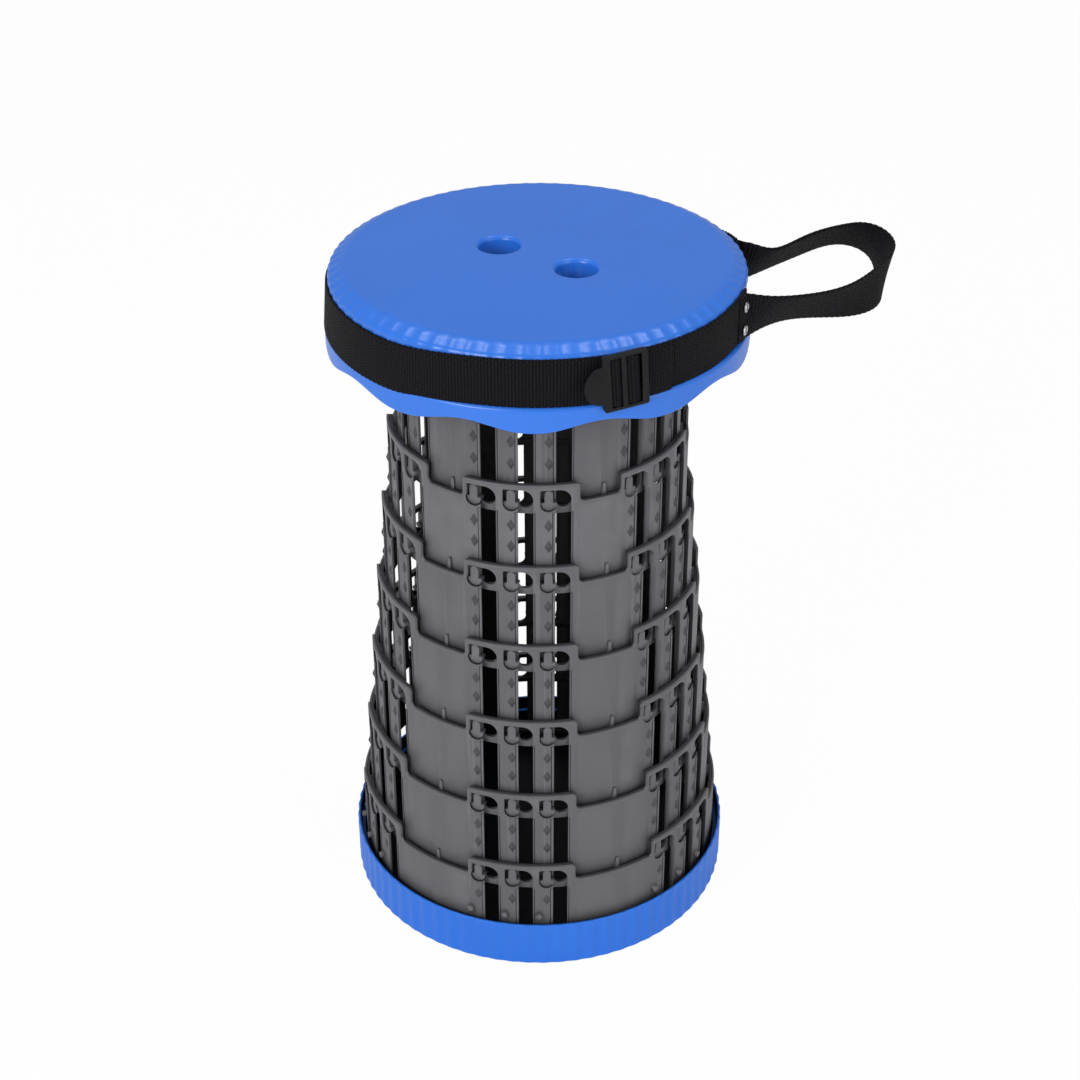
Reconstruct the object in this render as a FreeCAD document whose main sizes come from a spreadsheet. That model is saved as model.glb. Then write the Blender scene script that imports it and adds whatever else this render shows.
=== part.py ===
import FreeCAD, Part
import math
import os
import Sketcher

# Collapsible telescopic stool, standing open on its base.
# Frame: millimetres, +Z up, origin on the floor under the centre of the base.
# Bearings are measured in degrees from the front (-Y) towards the right (+X).

SIZES = {
    # seat shell
    "seat_radius": (125.0, "outer radius of the seat and its side wall"),
    "seat_height": (450.0, "floor to the top of the open seat"),
    "seat_plate": (3.5, "thickness of the seat top"),
    "seat_wall": (2.0, "thickness of the seat side wall"),
    "seat_round": (4.5, "rounding of the seat edge"),
    "flange_radius": (128.8, "outer radius of the flange under the strap"),
    "flange_wall": (2.4, "thickness of the flange"),
    "flange_height": (416.0, "floor to the shelf that the strap sits on"),
    "lobe_height": (399.3, "floor to the lowest points of the flange"),
    "wave_rise": (6.0, "height of the wave in the flange edge"),
    "wave_count": (10, "waves round the flange edge"),
    "lobe_flat": (1.0, "half width left flat at each low point of the wave"),
    "wave_turn": (16.5, "bearing of a high point of the wave"),
    "flange_round": (1.2, "rounding of the flange shelf"),
    "flute_count": (75, "shallow flutes round the seat and round the base"),
    "flute_depth": (0.5, "depth of one flute"),
    "flute_reach": (4.2, "half width of one flute"),
    "finger_radius": (12.5, "radius of a finger hole"),
    "finger_offset": (28.8, "seat centre to the centre of a finger hole"),
    "finger_turn": (53.0, "bearing of the front finger hole"),
    "finger_depth": (14.0, "depth of the tube round a finger hole"),
    "finger_wall": (2.0, "wall of that tube"),
    "finger_round": (3.0, "rounding of the mouth of a finger hole"),
    "rib_count": (12, "stiffening ribs under the seat top"),
    "rib_depth": (6.0, "depth of a rib"),
    "rib_wall": (1.8, "thickness of a rib"),
    "rib_inner": (50.0, "radius where the ribs start"),
    "rib_outer": (79.0, "radius where the ribs end"),
    # screws between the seat and the innermost ring
    "screw_count": (6, "screws, bosses and holes"),
    "screw_circle": (73.0, "radius of the screw circle"),
    "screw_turn": (15.0, "bearing of the first screw"),
    "boss_radius": (4.0, "radius of a screw boss"),
    "boss_depth": (8.0, "seat plate to the flange that it seats on"),
    "shank_radius": (1.4, "radius of a screw or rivet shank"),
    "shank_room": (0.15, "room round a shank in its hole"),
    "screw_head": (3.2, "radius of a screw head"),
    "screw_head_depth": (2.2, "height of a screw head"),
    "screw_length": (9.5, "length of a screw shank"),
    "drive_radius": (1.1, "radius of the drive recess"),
    "drive_depth": (1.2, "depth of the drive recess"),
    # the eight rings
    "outer_ring_radius": (121.4, "outer radius of the outermost ring"),
    "ring_step": (5.42, "difference in radius from one ring to the next"),
    "ring_wall": (2.6, "wall of a ring"),
    "ring_lip": (0.9, "inward lip that guides the next ring"),
    "lip_height": (4.0, "height of the lip below the panel rim"),
    "ring_height": (75.3, "ring foot to the top of its raised crowns"),
    "panel_height": (63.0, "ring foot to the rim of its plain panels"),
    "ring_rise": (53.5, "rise from one ring foot to the next when open"),
    "group_count": (6, "slot groups round a ring"),
    "group_turn": (-3.0, "bearing of the front slot group"),
    "slot_left": (-7.2, "left edge of the middle slot of a group"),
    "slot_width": (9.2, "width of a slot"),
    "slot_pitch": (22.3, "distance between the slots of a group"),
    "slot_bottom": (4.0, "height of the hoop under the slots"),
    "pocket_reach": (9.0, "lug pocket, left of its slot"),
    "pocket_radius": (4.9, "radius of the pocket floor"),
    "pocket_crown": (3.1, "thickness of the crown over a pocket"),
    "pocket_corner": (1.2, "rounding of the upper left pocket corner"),
    "pocket_arch": (6.7, "radius of the arch over a slot"),
    "skin": (1.2, "wall left outside the lug groove"),
    "crown_left": (-40.3, "left end of a crown"),
    "crown_right": (29.4, "right end of a crown"),
    "crown_left_round": (1.4, "rounding at the left end"),
    "crown_right_round": (2.4, "rounding at the right end"),
    "lug_radius": (4.6, "radius of a lug foot"),
    "lug_bottom": (4.3, "ring foot to the lowest point of its lugs"),
    "lug_shoulder": (0.6, "straight part above the round lug foot"),
    "finger_top": (17.7, "ring foot to the top of a lug"),
    "lug_neck": (2.5, "half width of the upper part of a lug"),
    "lug_room": (0.15, "room outside a lug in its groove"),
    "root": (0.8, "how far a lug or stud is rooted in its wall"),
    "wedge_turn": (28.6, "bearing of a wedge rib from its slot group"),
    "wedge_foot": (5.0, "ring foot to the foot of a wedge rib"),
    "wedge_top": (16.5, "ring foot to the top of a wedge rib"),
    "wedge_half": (1.7, "half width of a wedge rib at its foot"),
    "wedge_tip": (0.8, "half width of a wedge rib at its top"),
    "wedge_proud": (1.5, "how far a wedge rib stands proud"),
    "lug_depth": (1.4, "depth of the wall that a lug stands in"),
    "sector_start": (-36.5, "bearing of the edge of the front sector"),
    "stud_height": (35.5, "ring foot to the studs of the outermost ring"),
    "stud_radius": (2.0, "radius of a stud"),
    "stud_proud": (3.0, "how far a stud stands proud"),
    "top_flange_inner": (68.0, "inner radius of the screw flange of ring 1"),
    "top_flange": (2.5, "thickness of that screw flange"),
    "short_slot_top": (56.0, "top of the slots of ring 1"),
    # base
    "base_radius": (127.5, "outer radius of the base"),
    "base_height": (33.3, "floor to the rim of the base"),
    "base_wall": (2.5, "wall of the base"),
    "base_lift": (0.6, "floor to the underside of the base"),
    "base_floor": (3.0, "floor to the inside floor of the base"),
    "base_round": (1.0, "rounding of the base rim"),
    "bead_height": (21.2, "floor to the bead that holds the outermost ring"),
    "bead_depth": (2.0, "height of the bead"),
    "bead_proud": (2.8, "how far the bead stands in from the base wall"),
    "base_ring_room": (0.3, "room between the lugs of ring 8 and the base"),
    "pad_count": (6, "rubber pads round the underside of the base, besides the middle one"),
    "pad_circle": (105.0, "radius of the circle of pads"),
    "pad_turn": (0.0, "bearing of the front pad"),
    "pad_radius": (9.0, "radius of a pad"),
    "pad_depth": (1.6, "thickness of a pad"),
    "pad_room": (0.2, "room round a pad in its recess"),
    # webbing strap, carry loop and buckle
    "web_width": (30.0, "width of the webbing"),
    "web_thick": (1.9, "thickness of the webbing"),
    "web_gap": (0.4, "room between the webbing and what it lies on"),
    "web_height": (431.0, "floor to the middle of the webbing"),
    "short_start": (21.6, "bearing where the short strap starts, behind the middle bar"),
    "fold_start": (28.0, "bearing where its sewn double part starts"),
    "fold_end": (35.5, "bearing where that double part ends"),
    "short_end": (73.0, "bearing where the short strap ends"),
    "long_start": (104.0, "bearing where the long strap starts"),
    "long_end": (381.0, "bearing where the long strap ends, behind the middle bar"),
    "loop_front_end": (62.5, "bearing of the front end of the carry loop"),
    "loop_front_leave": (68.4, "bearing where its front end leaves the strap"),
    "loop_back_leave": (108.3, "bearing where its back end leaves the strap"),
    "loop_back_end": (114.0, "bearing of the back end of the carry loop"),
    "loop_lead": (9.0, "straight lead of the loop between the strap and its bend"),
    "loop_bend": (0.45, "share of the shorter run that a bend of the loop takes"),
    "front_rivets_turn": (68.6, "bearing of the front rivets"),
    "back_rivets_turn": (108.4, "bearing of the back rivets"),
    "rivet_spacing": (14.6, "distance between the two rivets of a pair"),
    "rivet_head": (3.4, "radius of a rivet head"),
    "rivet_head_depth": (1.3, "height of a rivet head"),
    "rivet_head_round": (1.0, "rounding of a rivet head"),
    "rivet_seat": (0.25, "room under a flat rivet head on the round webbing"),
    "rivet_tail": (0.5, "length of the rivet beyond its washer"),
    "washer_radius": (4.0, "radius of a rivet washer"),
    "washer_thick": (0.5, "thickness of a rivet washer"),
    "washer_seat": (0.1, "set back of a flat washer on the round wall"),
    "buckle_turn": (21.6, "bearing of the buckle"),
    "buckle_tilt": (4.0, "tilt of the buckle along the strap"),
    "buckle_height": (429.3, "floor to the middle of the buckle"),
    "buckle_length": (27.0, "length of the buckle frame"),
    "buckle_width": (34.0, "width of the buckle frame"),
    "buckle_room": (0.3, "room between the buckle and the flange behind its lower edge"),
    "buckle_thick": (3.2, "thickness of the buckle frame"),
    "buckle_corner": (1.5, "rounding of the corners of the frame"),
    "buckle_rail": (1.9, "width of the two rails of the frame"),
    "tab_bar": (4.6, "width of the bar that carries the thumb tab"),
    "ladder_left": (-2.4, "left edge of the middle bar"),
    "ladder_right": (0.6, "right edge of the middle bar"),
    "fixed_bar": (3.6, "width of the bar that the short strap is sewn to"),
    "tab_radius": (11.6, "radius of the thumb tab"),
    "tab_thick": (2.0, "thickness of the thumb tab"),
}

# Corners of the middle line of the carry loop, seen from above: distance
# outwards (+X) from the outer face of the strap, and distance along +Y.
LOOP_CORNERS = [
    (19.2, -31.6),
    (45.2, -28.8),
    (64.2, -19.0),
    (77.2, 9.0),
    (86.7, 36.0),
    (87.2, 60.0),
    (79.7, 75.5),
    (62.7, 74.5),
    (44.7, 62.0),
    (24.7, 44.5),
]

HALF = "half"
NEAR = 1e-3
RING_COUNT = 8


class Size:
    """A number together with the sheet formula that it comes from."""

    def __init__(self, value, text):
        self.value = float(value)
        self.text = text

    def __add__(self, other):
        other = plain(other)
        return Size(self.value + other.value, f"({self.text} + {other.text})")

    def __radd__(self, other):
        return plain(other) + self

    def __sub__(self, other):
        other = plain(other)
        return Size(self.value - other.value, f"({self.text} - {other.text})")

    def __rsub__(self, other):
        return plain(other) - self

    def __mul__(self, other):
        other = plain(other)
        return Size(self.value * other.value, f"({self.text} * {other.text})")

    def __rmul__(self, other):
        return plain(other) * self

    def __truediv__(self, other):
        other = plain(other)
        return Size(self.value / other.value, f"({self.text} / {other.text})")

    def __rtruediv__(self, other):
        return plain(other) / self

    def __neg__(self):
        return 0 - self


def plain(number):
    """Wrap a bare number as a Size."""
    if isinstance(number, Size):
        return number
    return Size(number, repr(float(number)))


def root_of(size):
    return Size(math.sqrt(size.value), f"sqrt({size.text})")


def sine(size):
    return Size(math.sin(math.radians(size.value)), f"sin({size.text})")


def cosine(size):
    return Size(math.cos(math.radians(size.value)), f"cos({size.text})")


def arc_sine(size):
    return Size(math.degrees(math.asin(size.value)), f"(asin({size.text}) / 1deg)")


doc = FreeCAD.newDocument("telescopic_stool")
sheet = doc.addObject("Spreadsheet::Sheet", "sizes")
for row, (name, (value, note)) in enumerate(SIZES.items(), start=1):
    sheet.set(f"A{row}", name)
    sheet.set(f"B{row}", str(value))
    sheet.set(f"C{row}", note)
    sheet.setAlias(f"B{row}", name)
doc.recompute()


def size(name):
    """One value of the sheet."""
    return Size(sheet.get(name), f"sizes.{name}")


parts = {}


def bind(thing, prop, value):
    """Tie one property to a Size."""
    thing.setExpression(prop, plain(value).text)


def keep(name, thing):
    """Name a finished sub-part after its file."""
    thing.Label = name
    parts[name] = thing
    return thing


def new_body(name):
    return doc.addObject("PartDesign::Body", name)


def origin_plane(body, role):
    for feature in body.Origin.OriginFeatures:
        if feature.Role == role:
            return feature
    raise ValueError(role)


def sketch_on(body, role, turn=0.0, out=0.0):
    """A sketch on an origin plane.

    On XZ_Plane the sketch faces the bearing turn at the distance out from
    the axis, with its x axis to the right and its y axis up. On XY_Plane
    out is the height."""
    sketch = body.newObject("Sketcher::SketchObject", body.Name + "_sketch")
    sketch.AttachmentSupport = [(origin_plane(body, role), "")]
    sketch.MapMode = "FlatFace"
    up = FreeCAD.Vector(0, 1, 0)
    if role == "XZ_Plane":
        sketch.AttachmentOffset = FreeCAD.Placement(FreeCAD.Vector(), FreeCAD.Rotation(up, 1.0))
        bind(sketch, "AttachmentOffset.Rotation.Angle", turn)
        bind(sketch, "AttachmentOffset.Base.x", plain(out) * sine(plain(turn)))
        bind(sketch, "AttachmentOffset.Base.z", plain(out) * cosine(plain(turn)))
    else:
        bind(sketch, "AttachmentOffset.Base.z", out)
    return sketch


def fix(sketch, kind, values, amount):
    """Add one dimension and tie it to its Size."""
    number = sketch.addConstraint(Sketcher.Constraint(kind, *values, plain(amount).value))
    sketch.setExpression(f"Constraints[{number}]", plain(amount).text)


def outline(sketch, corners):
    """A closed wire through corners.

    A corner is (x, y) for a straight side to the next one, or
    (x, y, radius, side) for an arc to the next one that bulges to the left
    (side 1) or to the right (side -1) of the way there. A half circle to
    a corner at the same height is (x, y, radius, side, HALF)."""
    first = sketch.GeometryCount
    count = len(corners)
    for number, corner in enumerate(corners):
        start = [plain(c).value for c in corner[:2]]
        end = [plain(c).value for c in corners[(number + 1) % count][:2]]
        a = FreeCAD.Vector(start[0], start[1], 0)
        b = FreeCAD.Vector(end[0], end[1], 0)
        if len(corner) == 2:
            sketch.addGeometry(Part.LineSegment(a, b), False)
        else:
            radius = plain(corner[2]).value
            chord = b - a
            left = FreeCAD.Vector(-chord.y, chord.x, 0).normalize()
            half = chord.Length / 2
            depth = math.sqrt(max(radius * radius - half * half, 0.0))
            middle = (a + b) / 2 + left * (corner[3] * (radius - depth))
            sketch.addGeometry(Part.Arc(a, middle, b), False)
    for number, corner in enumerate(corners):
        geometry = first + number
        here = start_point(sketch, geometry, corner)
        before = first + (number - 1) % count
        there = end_point(sketch, before, corners[(number - 1) % count])
        sketch.addConstraint(Sketcher.Constraint("Coincident", before, there, geometry, here))
        fix(sketch, "DistanceX", (-1, 1, geometry, here), corner[0])
        fix(sketch, "DistanceY", (-1, 1, geometry, here), corner[1])
        if HALF in corner:
            fix(sketch, "DistanceY", (-1, 1, geometry, 3), corner[1])
        elif len(corner) > 2:
            fix(sketch, "Radius", (geometry,), corner[2])


def start_point(sketch, geometry, corner):
    """Which end of the geometry is its corner: arcs always run anticlockwise."""
    if len(corner) == 2:
        return 1
    return 1 if corner[3] < 0 else 2


def end_point(sketch, geometry, corner):
    return 3 - start_point(sketch, geometry, corner)


def circle(sketch, x, y, radius):
    centre = FreeCAD.Vector(plain(x).value, plain(y).value, 0)
    number = sketch.addGeometry(Part.Circle(centre, FreeCAD.Vector(0, 0, 1), plain(radius).value), False)
    fix(sketch, "DistanceX", (-1, 1, number, 3), x)
    fix(sketch, "DistanceY", (-1, 1, number, 3), y)
    fix(sketch, "Radius", (number,), radius)


def revolve(body, sketch, angle=360.0):
    """Turn a profile about the upright axis, towards rising bearings."""
    feature = body.newObject("PartDesign::Revolution", body.Name + "_turned")
    feature.Profile = sketch
    feature.ReferenceAxis = (sketch, ["V_Axis"])
    bind(feature, "Angle", angle)
    return feature


def pad(body, sketch, length, inward=False):
    feature = body.newObject("PartDesign::Pad", body.Name + "_pad")
    feature.Profile = sketch
    bind(feature, "Length", length)
    feature.Reversed = inward
    return feature


def cut(body, sketch, length=None, outward=True):
    """Pocket from a sketch, through everything when no length is given."""
    feature = body.newObject("PartDesign::Pocket", body.Name + "_pocket")
    feature.Profile = sketch
    feature.Reversed = outward
    if length is None:
        feature.Type = "ThroughAll"
    else:
        bind(feature, "Length", length)
    return feature


def repeat(body, features, count, whole=False):
    """Repeat features, or the whole body so far, evenly round the axis."""
    pattern = body.newObject("PartDesign::PolarPattern", body.Name + "_round")
    if whole:
        pattern.TransformMode = "Whole shape"
    else:
        pattern.Originals = features
    pattern.Axis = (origin_plane(body, "Z_Axis"), [""])
    pattern.Angle = 360
    bind(pattern, "Occurrences", count)
    body.Tip = pattern
    return pattern


def around(distance, bearing):
    """Sketch coordinates, seen from above, of a place round the axis."""
    turn = size(bearing)
    return size(distance) * sine(turn), -size(distance) * cosine(turn)


def shank_hole():
    """Radius of a hole for a screw or rivet shank."""
    return size("shank_radius") + size("shank_room")


def arc_radius(half, rise):
    """Radius of an arc from half its chord and its rise."""
    return (half * half + rise * rise) / (2 * rise)


def cut_flutes(body, radius, low):
    """Shallow upright flutes round a wall, from the height low upwards."""
    depth = size("flute_depth")
    flute = arc_radius(size("flute_reach"), depth)
    sketch = sketch_on(body, "XY_Plane", out=low)
    circle(sketch, radius + flute - depth, 0, flute)
    repeat(body, [cut(body, sketch)], size("flute_count"))
    doc.recompute()


def round_edges(body, radius, wanted):
    """Round the edges of the body so far that the test wanted picks."""
    doc.recompute()
    base = body.Tip
    names = [f"Edge{n}" for n, edge in enumerate(base.Shape.Edges, start=1) if wanted(edge)]
    if not names:
        raise ValueError(f"{body.Name}: no edge to round")
    fillet = body.newObject("PartDesign::Fillet", body.Name + "_round_edges")
    fillet.Base = (base, names)
    bind(fillet, "Radius", radius)
    doc.recompute()


def is_circle(edge, radius):
    return isinstance(edge.Curve, Part.Circle) and abs(edge.Curve.Radius - radius.value) < NEAR


def ring_radius(number):
    return size("outer_ring_radius") - (RING_COUNT - number) * size("ring_step")


def ring_foot(number):
    return size("base_floor") + (RING_COUNT - number) * size("ring_rise")


def slot_edge(unit):
    """Left edge of slot 0, 1 or 2 of a group."""
    return size("slot_left") + (unit - 1) * size("slot_pitch")


def lug_centre(unit):
    return slot_edge(unit) - size("pocket_reach") + size("pocket_radius")


def lug_height():
    """Ring foot to the centre of its round lug feet."""
    return size("lug_bottom") + size("lug_radius")


def pocket_outline(sketch, unit):
    """A slot with the pocket that holds one lug of the next ring in."""
    left = slot_edge(unit)
    right = left + size("slot_width")
    half = size("slot_width") / 2
    low = size("slot_bottom") + half
    edge = left - size("pocket_reach")
    floor_radius = size("pocket_radius")
    centre_height = size("ring_rise") + lug_height()
    reach = size("pocket_reach") - floor_radius
    corner_height = centre_height - root_of(floor_radius * floor_radius - reach * reach)
    ceiling = size("ring_height") - size("pocket_crown")
    corner = size("pocket_corner")
    arch = size("pocket_arch")
    outline(
        sketch,
        [
            (left, low, half, -1, HALF),
            (right, low),
            (right, ceiling - arch, arch, -1),
            (right - arch, ceiling),
            (edge + corner, ceiling, corner, -1),
            (edge, ceiling - corner),
            (edge, centre_height, floor_radius, -1),
            (left, corner_height),
        ],
    )


def short_slot_outline(sketch, unit):
    """A slot of the innermost ring, which has no pockets."""
    left = slot_edge(unit)
    right = left + size("slot_width")
    half = size("slot_width") / 2
    low = size("slot_bottom") + half
    high = size("short_slot_top") - half
    outline(
        sketch,
        [
            (left, low, half, -1, HALF),
            (right, low),
            (right, high, half, -1, HALF),
            (left, high),
        ],
    )


def lug_outline(sketch):
    """A round foot with a narrower finger above it."""
    radius = size("lug_radius")
    neck = size("lug_neck")
    level = lug_height()
    shoulder = level + size("lug_shoulder")
    tip = size("finger_top") - neck
    outline(
        sketch,
        [
            (-radius, level, radius, -1, HALF),
            (radius, level),
            (radius, shoulder),
            (neck, shoulder),
            (neck, tip, neck, -1, HALF),
            (-neck, tip),
            (-neck, shoulder),
            (-radius, shoulder),
        ],
    )


def groove_outline(sketch, unit):
    """The way down behind a bar for the lug of the next ring in."""
    left = slot_edge(unit)
    edge = left - size("pocket_reach")
    low = size("slot_bottom")
    high = size("ring_rise") + lug_height()
    far = left + size("slot_width") / 2
    outline(sketch, [(edge, low), (far, low), (far, high), (edge, high)])


def seen_from_panel(across, radius, side):
    """Where a point that lies across from a group axis lies from the panel.

    The panel faces half a group pitch away, on the right (side 1) or on the
    left (side -1) of the group."""
    half_pitch = 180 / size("group_count")
    depth = root_of(radius * radius - across * across)
    return across * cosine(half_pitch) - side * depth * sine(half_pitch)


def panel_outline(sketch, radius):
    """What is cut away above a plain panel, between two crowns."""
    left = seen_from_panel(size("crown_right"), radius, 1)
    right = seen_from_panel(size("crown_left"), radius, -1)
    rim = size("panel_height")
    top = size("ring_height")
    above = top + size("lip_height")
    turn_left = size("crown_right_round")
    turn_right = size("crown_left_round")
    outline(
        sketch,
        [
            (left - turn_left, above),
            (left - turn_left, top, turn_left, 1),
            (left, top - turn_left),
            (left, rim + turn_left, turn_left, -1),
            (left + turn_left, rim),
            (right - turn_right, rim, turn_right, -1),
            (right, rim + turn_right),
            (right, top - turn_right, turn_right, 1),
            (right + turn_right, top),
            (right + turn_right, above),
        ],
    )


def sector_sketch(body):
    """A profile sketch at the edge of one sector of a ring."""
    return sketch_on(body, "XZ_Plane", turn=size("sector_start") - 90)


def add_wall(body, inner, outer, corners):
    """Turn one layer of a ring wall through one sector."""
    profile = sector_sketch(body)
    outline(profile, corners)
    revolve(body, profile, 360 / size("group_count"))
    doc.recompute()


def add_lugs(body, radius, reach):
    """Three lugs that point straight out of the wall."""
    for unit in range(3):
        bearing = size("group_turn") + arc_sine(lug_centre(unit) / (reach - size("lug_depth") / 2))
        sketch = sketch_on(body, "XZ_Plane", turn=bearing, out=reach)
        lug_outline(sketch)
        pad(body, sketch, reach - radius + size("root"), inward=True)


def add_studs(body, radius):
    """Round studs above the base rim, one at the left edge of each pocket."""
    for unit in range(3):
        across = slot_edge(unit) - size("pocket_reach")
        bearing = size("group_turn") + arc_sine(across / radius)
        sketch = sketch_on(body, "XZ_Plane", turn=bearing, out=radius + size("stud_proud"))
        circle(sketch, 0, size("stud_height"), size("stud_radius"))
        pad(body, sketch, size("stud_proud") + size("root"), inward=True)


def make_ring(number):
    """One sector of a ring, repeated round the axis."""
    body = new_body(f"ring_{number}")
    radius = ring_radius(number)
    face = radius - size("skin")
    inner = radius - size("ring_wall")
    lip = inner - size("ring_lip")
    rim = size("panel_height") - size("lip_height")
    group = size("group_turn")
    panel = 180 / size("group_count")

    if number == 1:
        top = size("seat_height") - size("seat_plate") - ring_foot(1)
        shelf = top - size("boss_depth")
        under = shelf - size("top_flange")
        edge = size("top_flange_inner")
        corners = [(inner, 0), (face, 0), (face, top), (inner, top)]
        corners += [(inner, shelf), (edge, shelf), (edge, under), (inner, under)]
    else:
        top = size("ring_height")
        corners = [(inner, 0), (face, 0), (face, top), (lip, top), (lip, rim), (inner, rim)]
    add_wall(body, inner, face, corners)

    if number > 1:
        grooves = sketch_on(body, "XZ_Plane", turn=group)
        for unit in range(3):
            groove_outline(grooves, unit)
        cut(body, grooves)
        doc.recompute()
    add_wall(body, face, radius, [(face, 0), (radius, 0), (radius, top), (face, top)])

    slots = sketch_on(body, "XZ_Plane", turn=group)
    for unit in range(3):
        if number == 1:
            short_slot_outline(slots, unit)
        else:
            pocket_outline(slots, unit)
    cut(body, slots)
    if number > 1:
        for side in (1, -1):
            above = sketch_on(body, "XZ_Plane", turn=group + side * panel)
            panel_outline(above, radius)
            cut(body, above)
    doc.recompute()

    if number < RING_COUNT:
        reach = radius + size("ring_step") - size("skin") - size("lug_room")
    else:
        reach = size("base_radius") - size("base_wall") - size("base_ring_room")
    add_lugs(body, radius, reach)
    proud = size("wedge_proud")
    wedge = sketch_on(body, "XZ_Plane", turn=group + size("wedge_turn") - 2 * panel, out=radius + proud)
    foot = size("wedge_half")
    tip = size("wedge_tip")
    low = size("wedge_foot")
    high = size("wedge_top")
    outline(wedge, [(-foot, low), (foot, low), (tip, high), (-tip, high)])
    pad(body, wedge, proud + size("root"), inward=True)
    if number == 1:
        holes = sketch_on(body, "XY_Plane")
        circle(holes, *around("screw_circle", "screw_turn"), shank_hole())
        cut(body, holes)
    if number == RING_COUNT:
        add_studs(body, radius)
    doc.recompute()
    repeat(body, [], size("group_count"), whole=True)
    bind(body, "Placement.Base.z", ring_foot(number))
    doc.recompute()
    return keep(f"ring_{number}", body)


def wall_inner():
    """Inner radius of the seat side wall."""
    return size("seat_radius") - size("seat_wall")


def web_inner():
    return size("seat_radius") + size("web_gap")


def web_outer():
    return web_inner() + size("web_thick")


def loop_inner():
    """Inner radius of the loop ends, which lie on the strap."""
    return web_outer() + size("web_gap")


def loop_outer():
    return loop_inner() + size("web_thick")


def rivet_circles(sketch, radius):
    for side in (-1, 1):
        circle(sketch, 0, size("web_height") + side * size("rivet_spacing") / 2, radius)


def cut_rivet_holes(body, turn):
    """Two holes straight out through the wall or the webbing."""
    sketch = sketch_on(body, "XZ_Plane", turn=turn, out=wall_inner() - size("washer_radius"))
    rivet_circles(sketch, shank_hole())
    cut(body, sketch)
    doc.recompute()


def cut_wave(body):
    """The wavy lower edge of the flange."""
    low = size("lobe_height")
    rise = size("wave_rise") / 2
    far = size("flange_radius") * sine(180 / size("wave_count")) - size("lobe_flat")
    near = far / 2
    bend = arc_radius(near, rise)
    below = low - size("wave_rise")
    sketch = sketch_on(body, "XZ_Plane", turn=size("wave_turn"))
    outline(
        sketch,
        [
            (-far, below),
            (-far, low, bend, -1),
            (-near, low + rise, bend, 1),
            (near, low + rise, bend, -1),
            (far, low),
            (far, below),
        ],
    )
    repeat(body, [cut(body, sketch)], size("wave_count"))
    doc.recompute()


def add_seat_underside(body):
    """Finger tubes, screw bosses and ribs under the seat plate."""
    under = size("seat_height") - size("seat_plate")
    tubes = sketch_on(body, "XY_Plane", out=under)
    circle(tubes, *around("finger_offset", "finger_turn"), size("finger_radius") + size("finger_wall"))
    tube = pad(body, tubes, size("finger_depth") - size("seat_plate"), inward=True)
    repeat(body, [tube], 2)
    bosses = sketch_on(body, "XY_Plane", out=under)
    circle(bosses, *around("screw_circle", "screw_turn"), size("boss_radius"))
    repeat(body, [pad(body, bosses, size("boss_depth"), inward=True)], size("screw_count"))
    ribs = sketch_on(body, "XY_Plane", out=under)
    half = size("rib_wall") / 2
    near = size("rib_inner")
    far = size("rib_outer")
    outline(ribs, [(near, -half), (far, -half), (far, half), (near, half)])
    repeat(body, [pad(body, ribs, size("rib_depth"), inward=True)], size("rib_count"))
    doc.recompute()
    bores = sketch_on(body, "XY_Plane", out=under - size("boss_depth"))
    circle(bores, *around("screw_circle", "screw_turn"), shank_hole())
    bore = cut(body, bores, size("screw_length") - size("top_flange") + size("shank_room"))
    repeat(body, [bore], size("screw_count"))
    holes = sketch_on(body, "XY_Plane", out=size("seat_height") - size("finger_depth"))
    circle(holes, *around("finger_offset", "finger_turn"), size("finger_radius"))
    repeat(body, [cut(body, holes)], 2)
    doc.recompute()


def make_seat():
    """Seat plate, side wall and flange: one moulding."""
    body = new_body("seat_top")
    radius = size("seat_radius")
    inner = wall_inner()
    top = size("seat_height")
    under = top - size("seat_plate")
    bend = size("seat_round")
    flange = size("flange_radius")
    hollow = flange - size("flange_wall")
    shelf = size("flange_height")
    ceiling = shelf - size("flange_wall")
    low = size("lobe_height")
    edge = size("flange_round")
    profile = sketch_on(body, "XZ_Plane")
    outline(
        profile,
        [
            (0, under),
            (inner, under),
            (inner, ceiling),
            (hollow, ceiling),
            (hollow, low),
            (flange, low),
            (flange, shelf - edge, edge, -1),
            (flange - edge, shelf),
            (radius, shelf),
            (radius, top - bend, bend, -1),
            (radius - bend, top),
            (0, top),
        ],
    )
    revolve(body, profile)
    doc.recompute()
    cut_flutes(body, radius, shelf)
    cut_wave(body)
    add_seat_underside(body)

    def is_mouth(edge):
        return is_circle(edge, size("finger_radius")) and abs(edge.BoundBox.ZMin - top.value) < NEAR

    round_edges(body, size("finger_round"), is_mouth)
    for side in ("front", "back"):
        cut_rivet_holes(body, size(f"{side}_rivets_turn"))
    return keep("seat_top", body)


def make_seat_screws():
    """Pan-head screws, driven up through the inward flange of ring 1."""
    body = new_body("seat_screws")
    seat = size("seat_height") - size("seat_plate") - size("boss_depth") - size("top_flange")
    heads = sketch_on(body, "XY_Plane", out=seat)
    circle(heads, *around("screw_circle", "screw_turn"), size("screw_head"))
    head = pad(body, heads, size("screw_head_depth"), inward=True)
    shanks = sketch_on(body, "XY_Plane", out=seat)
    circle(shanks, *around("screw_circle", "screw_turn"), size("shank_radius"))
    shank = pad(body, shanks, size("screw_length"))
    recess = sketch_on(body, "XY_Plane", out=seat - size("screw_head_depth"))
    circle(recess, *around("screw_circle", "screw_turn"), size("drive_radius"))
    drive = cut(body, recess, size("drive_depth"))
    repeat(body, [head, shank, drive], size("screw_count"))
    doc.recompute()
    return keep("seat_screws", body)


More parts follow.
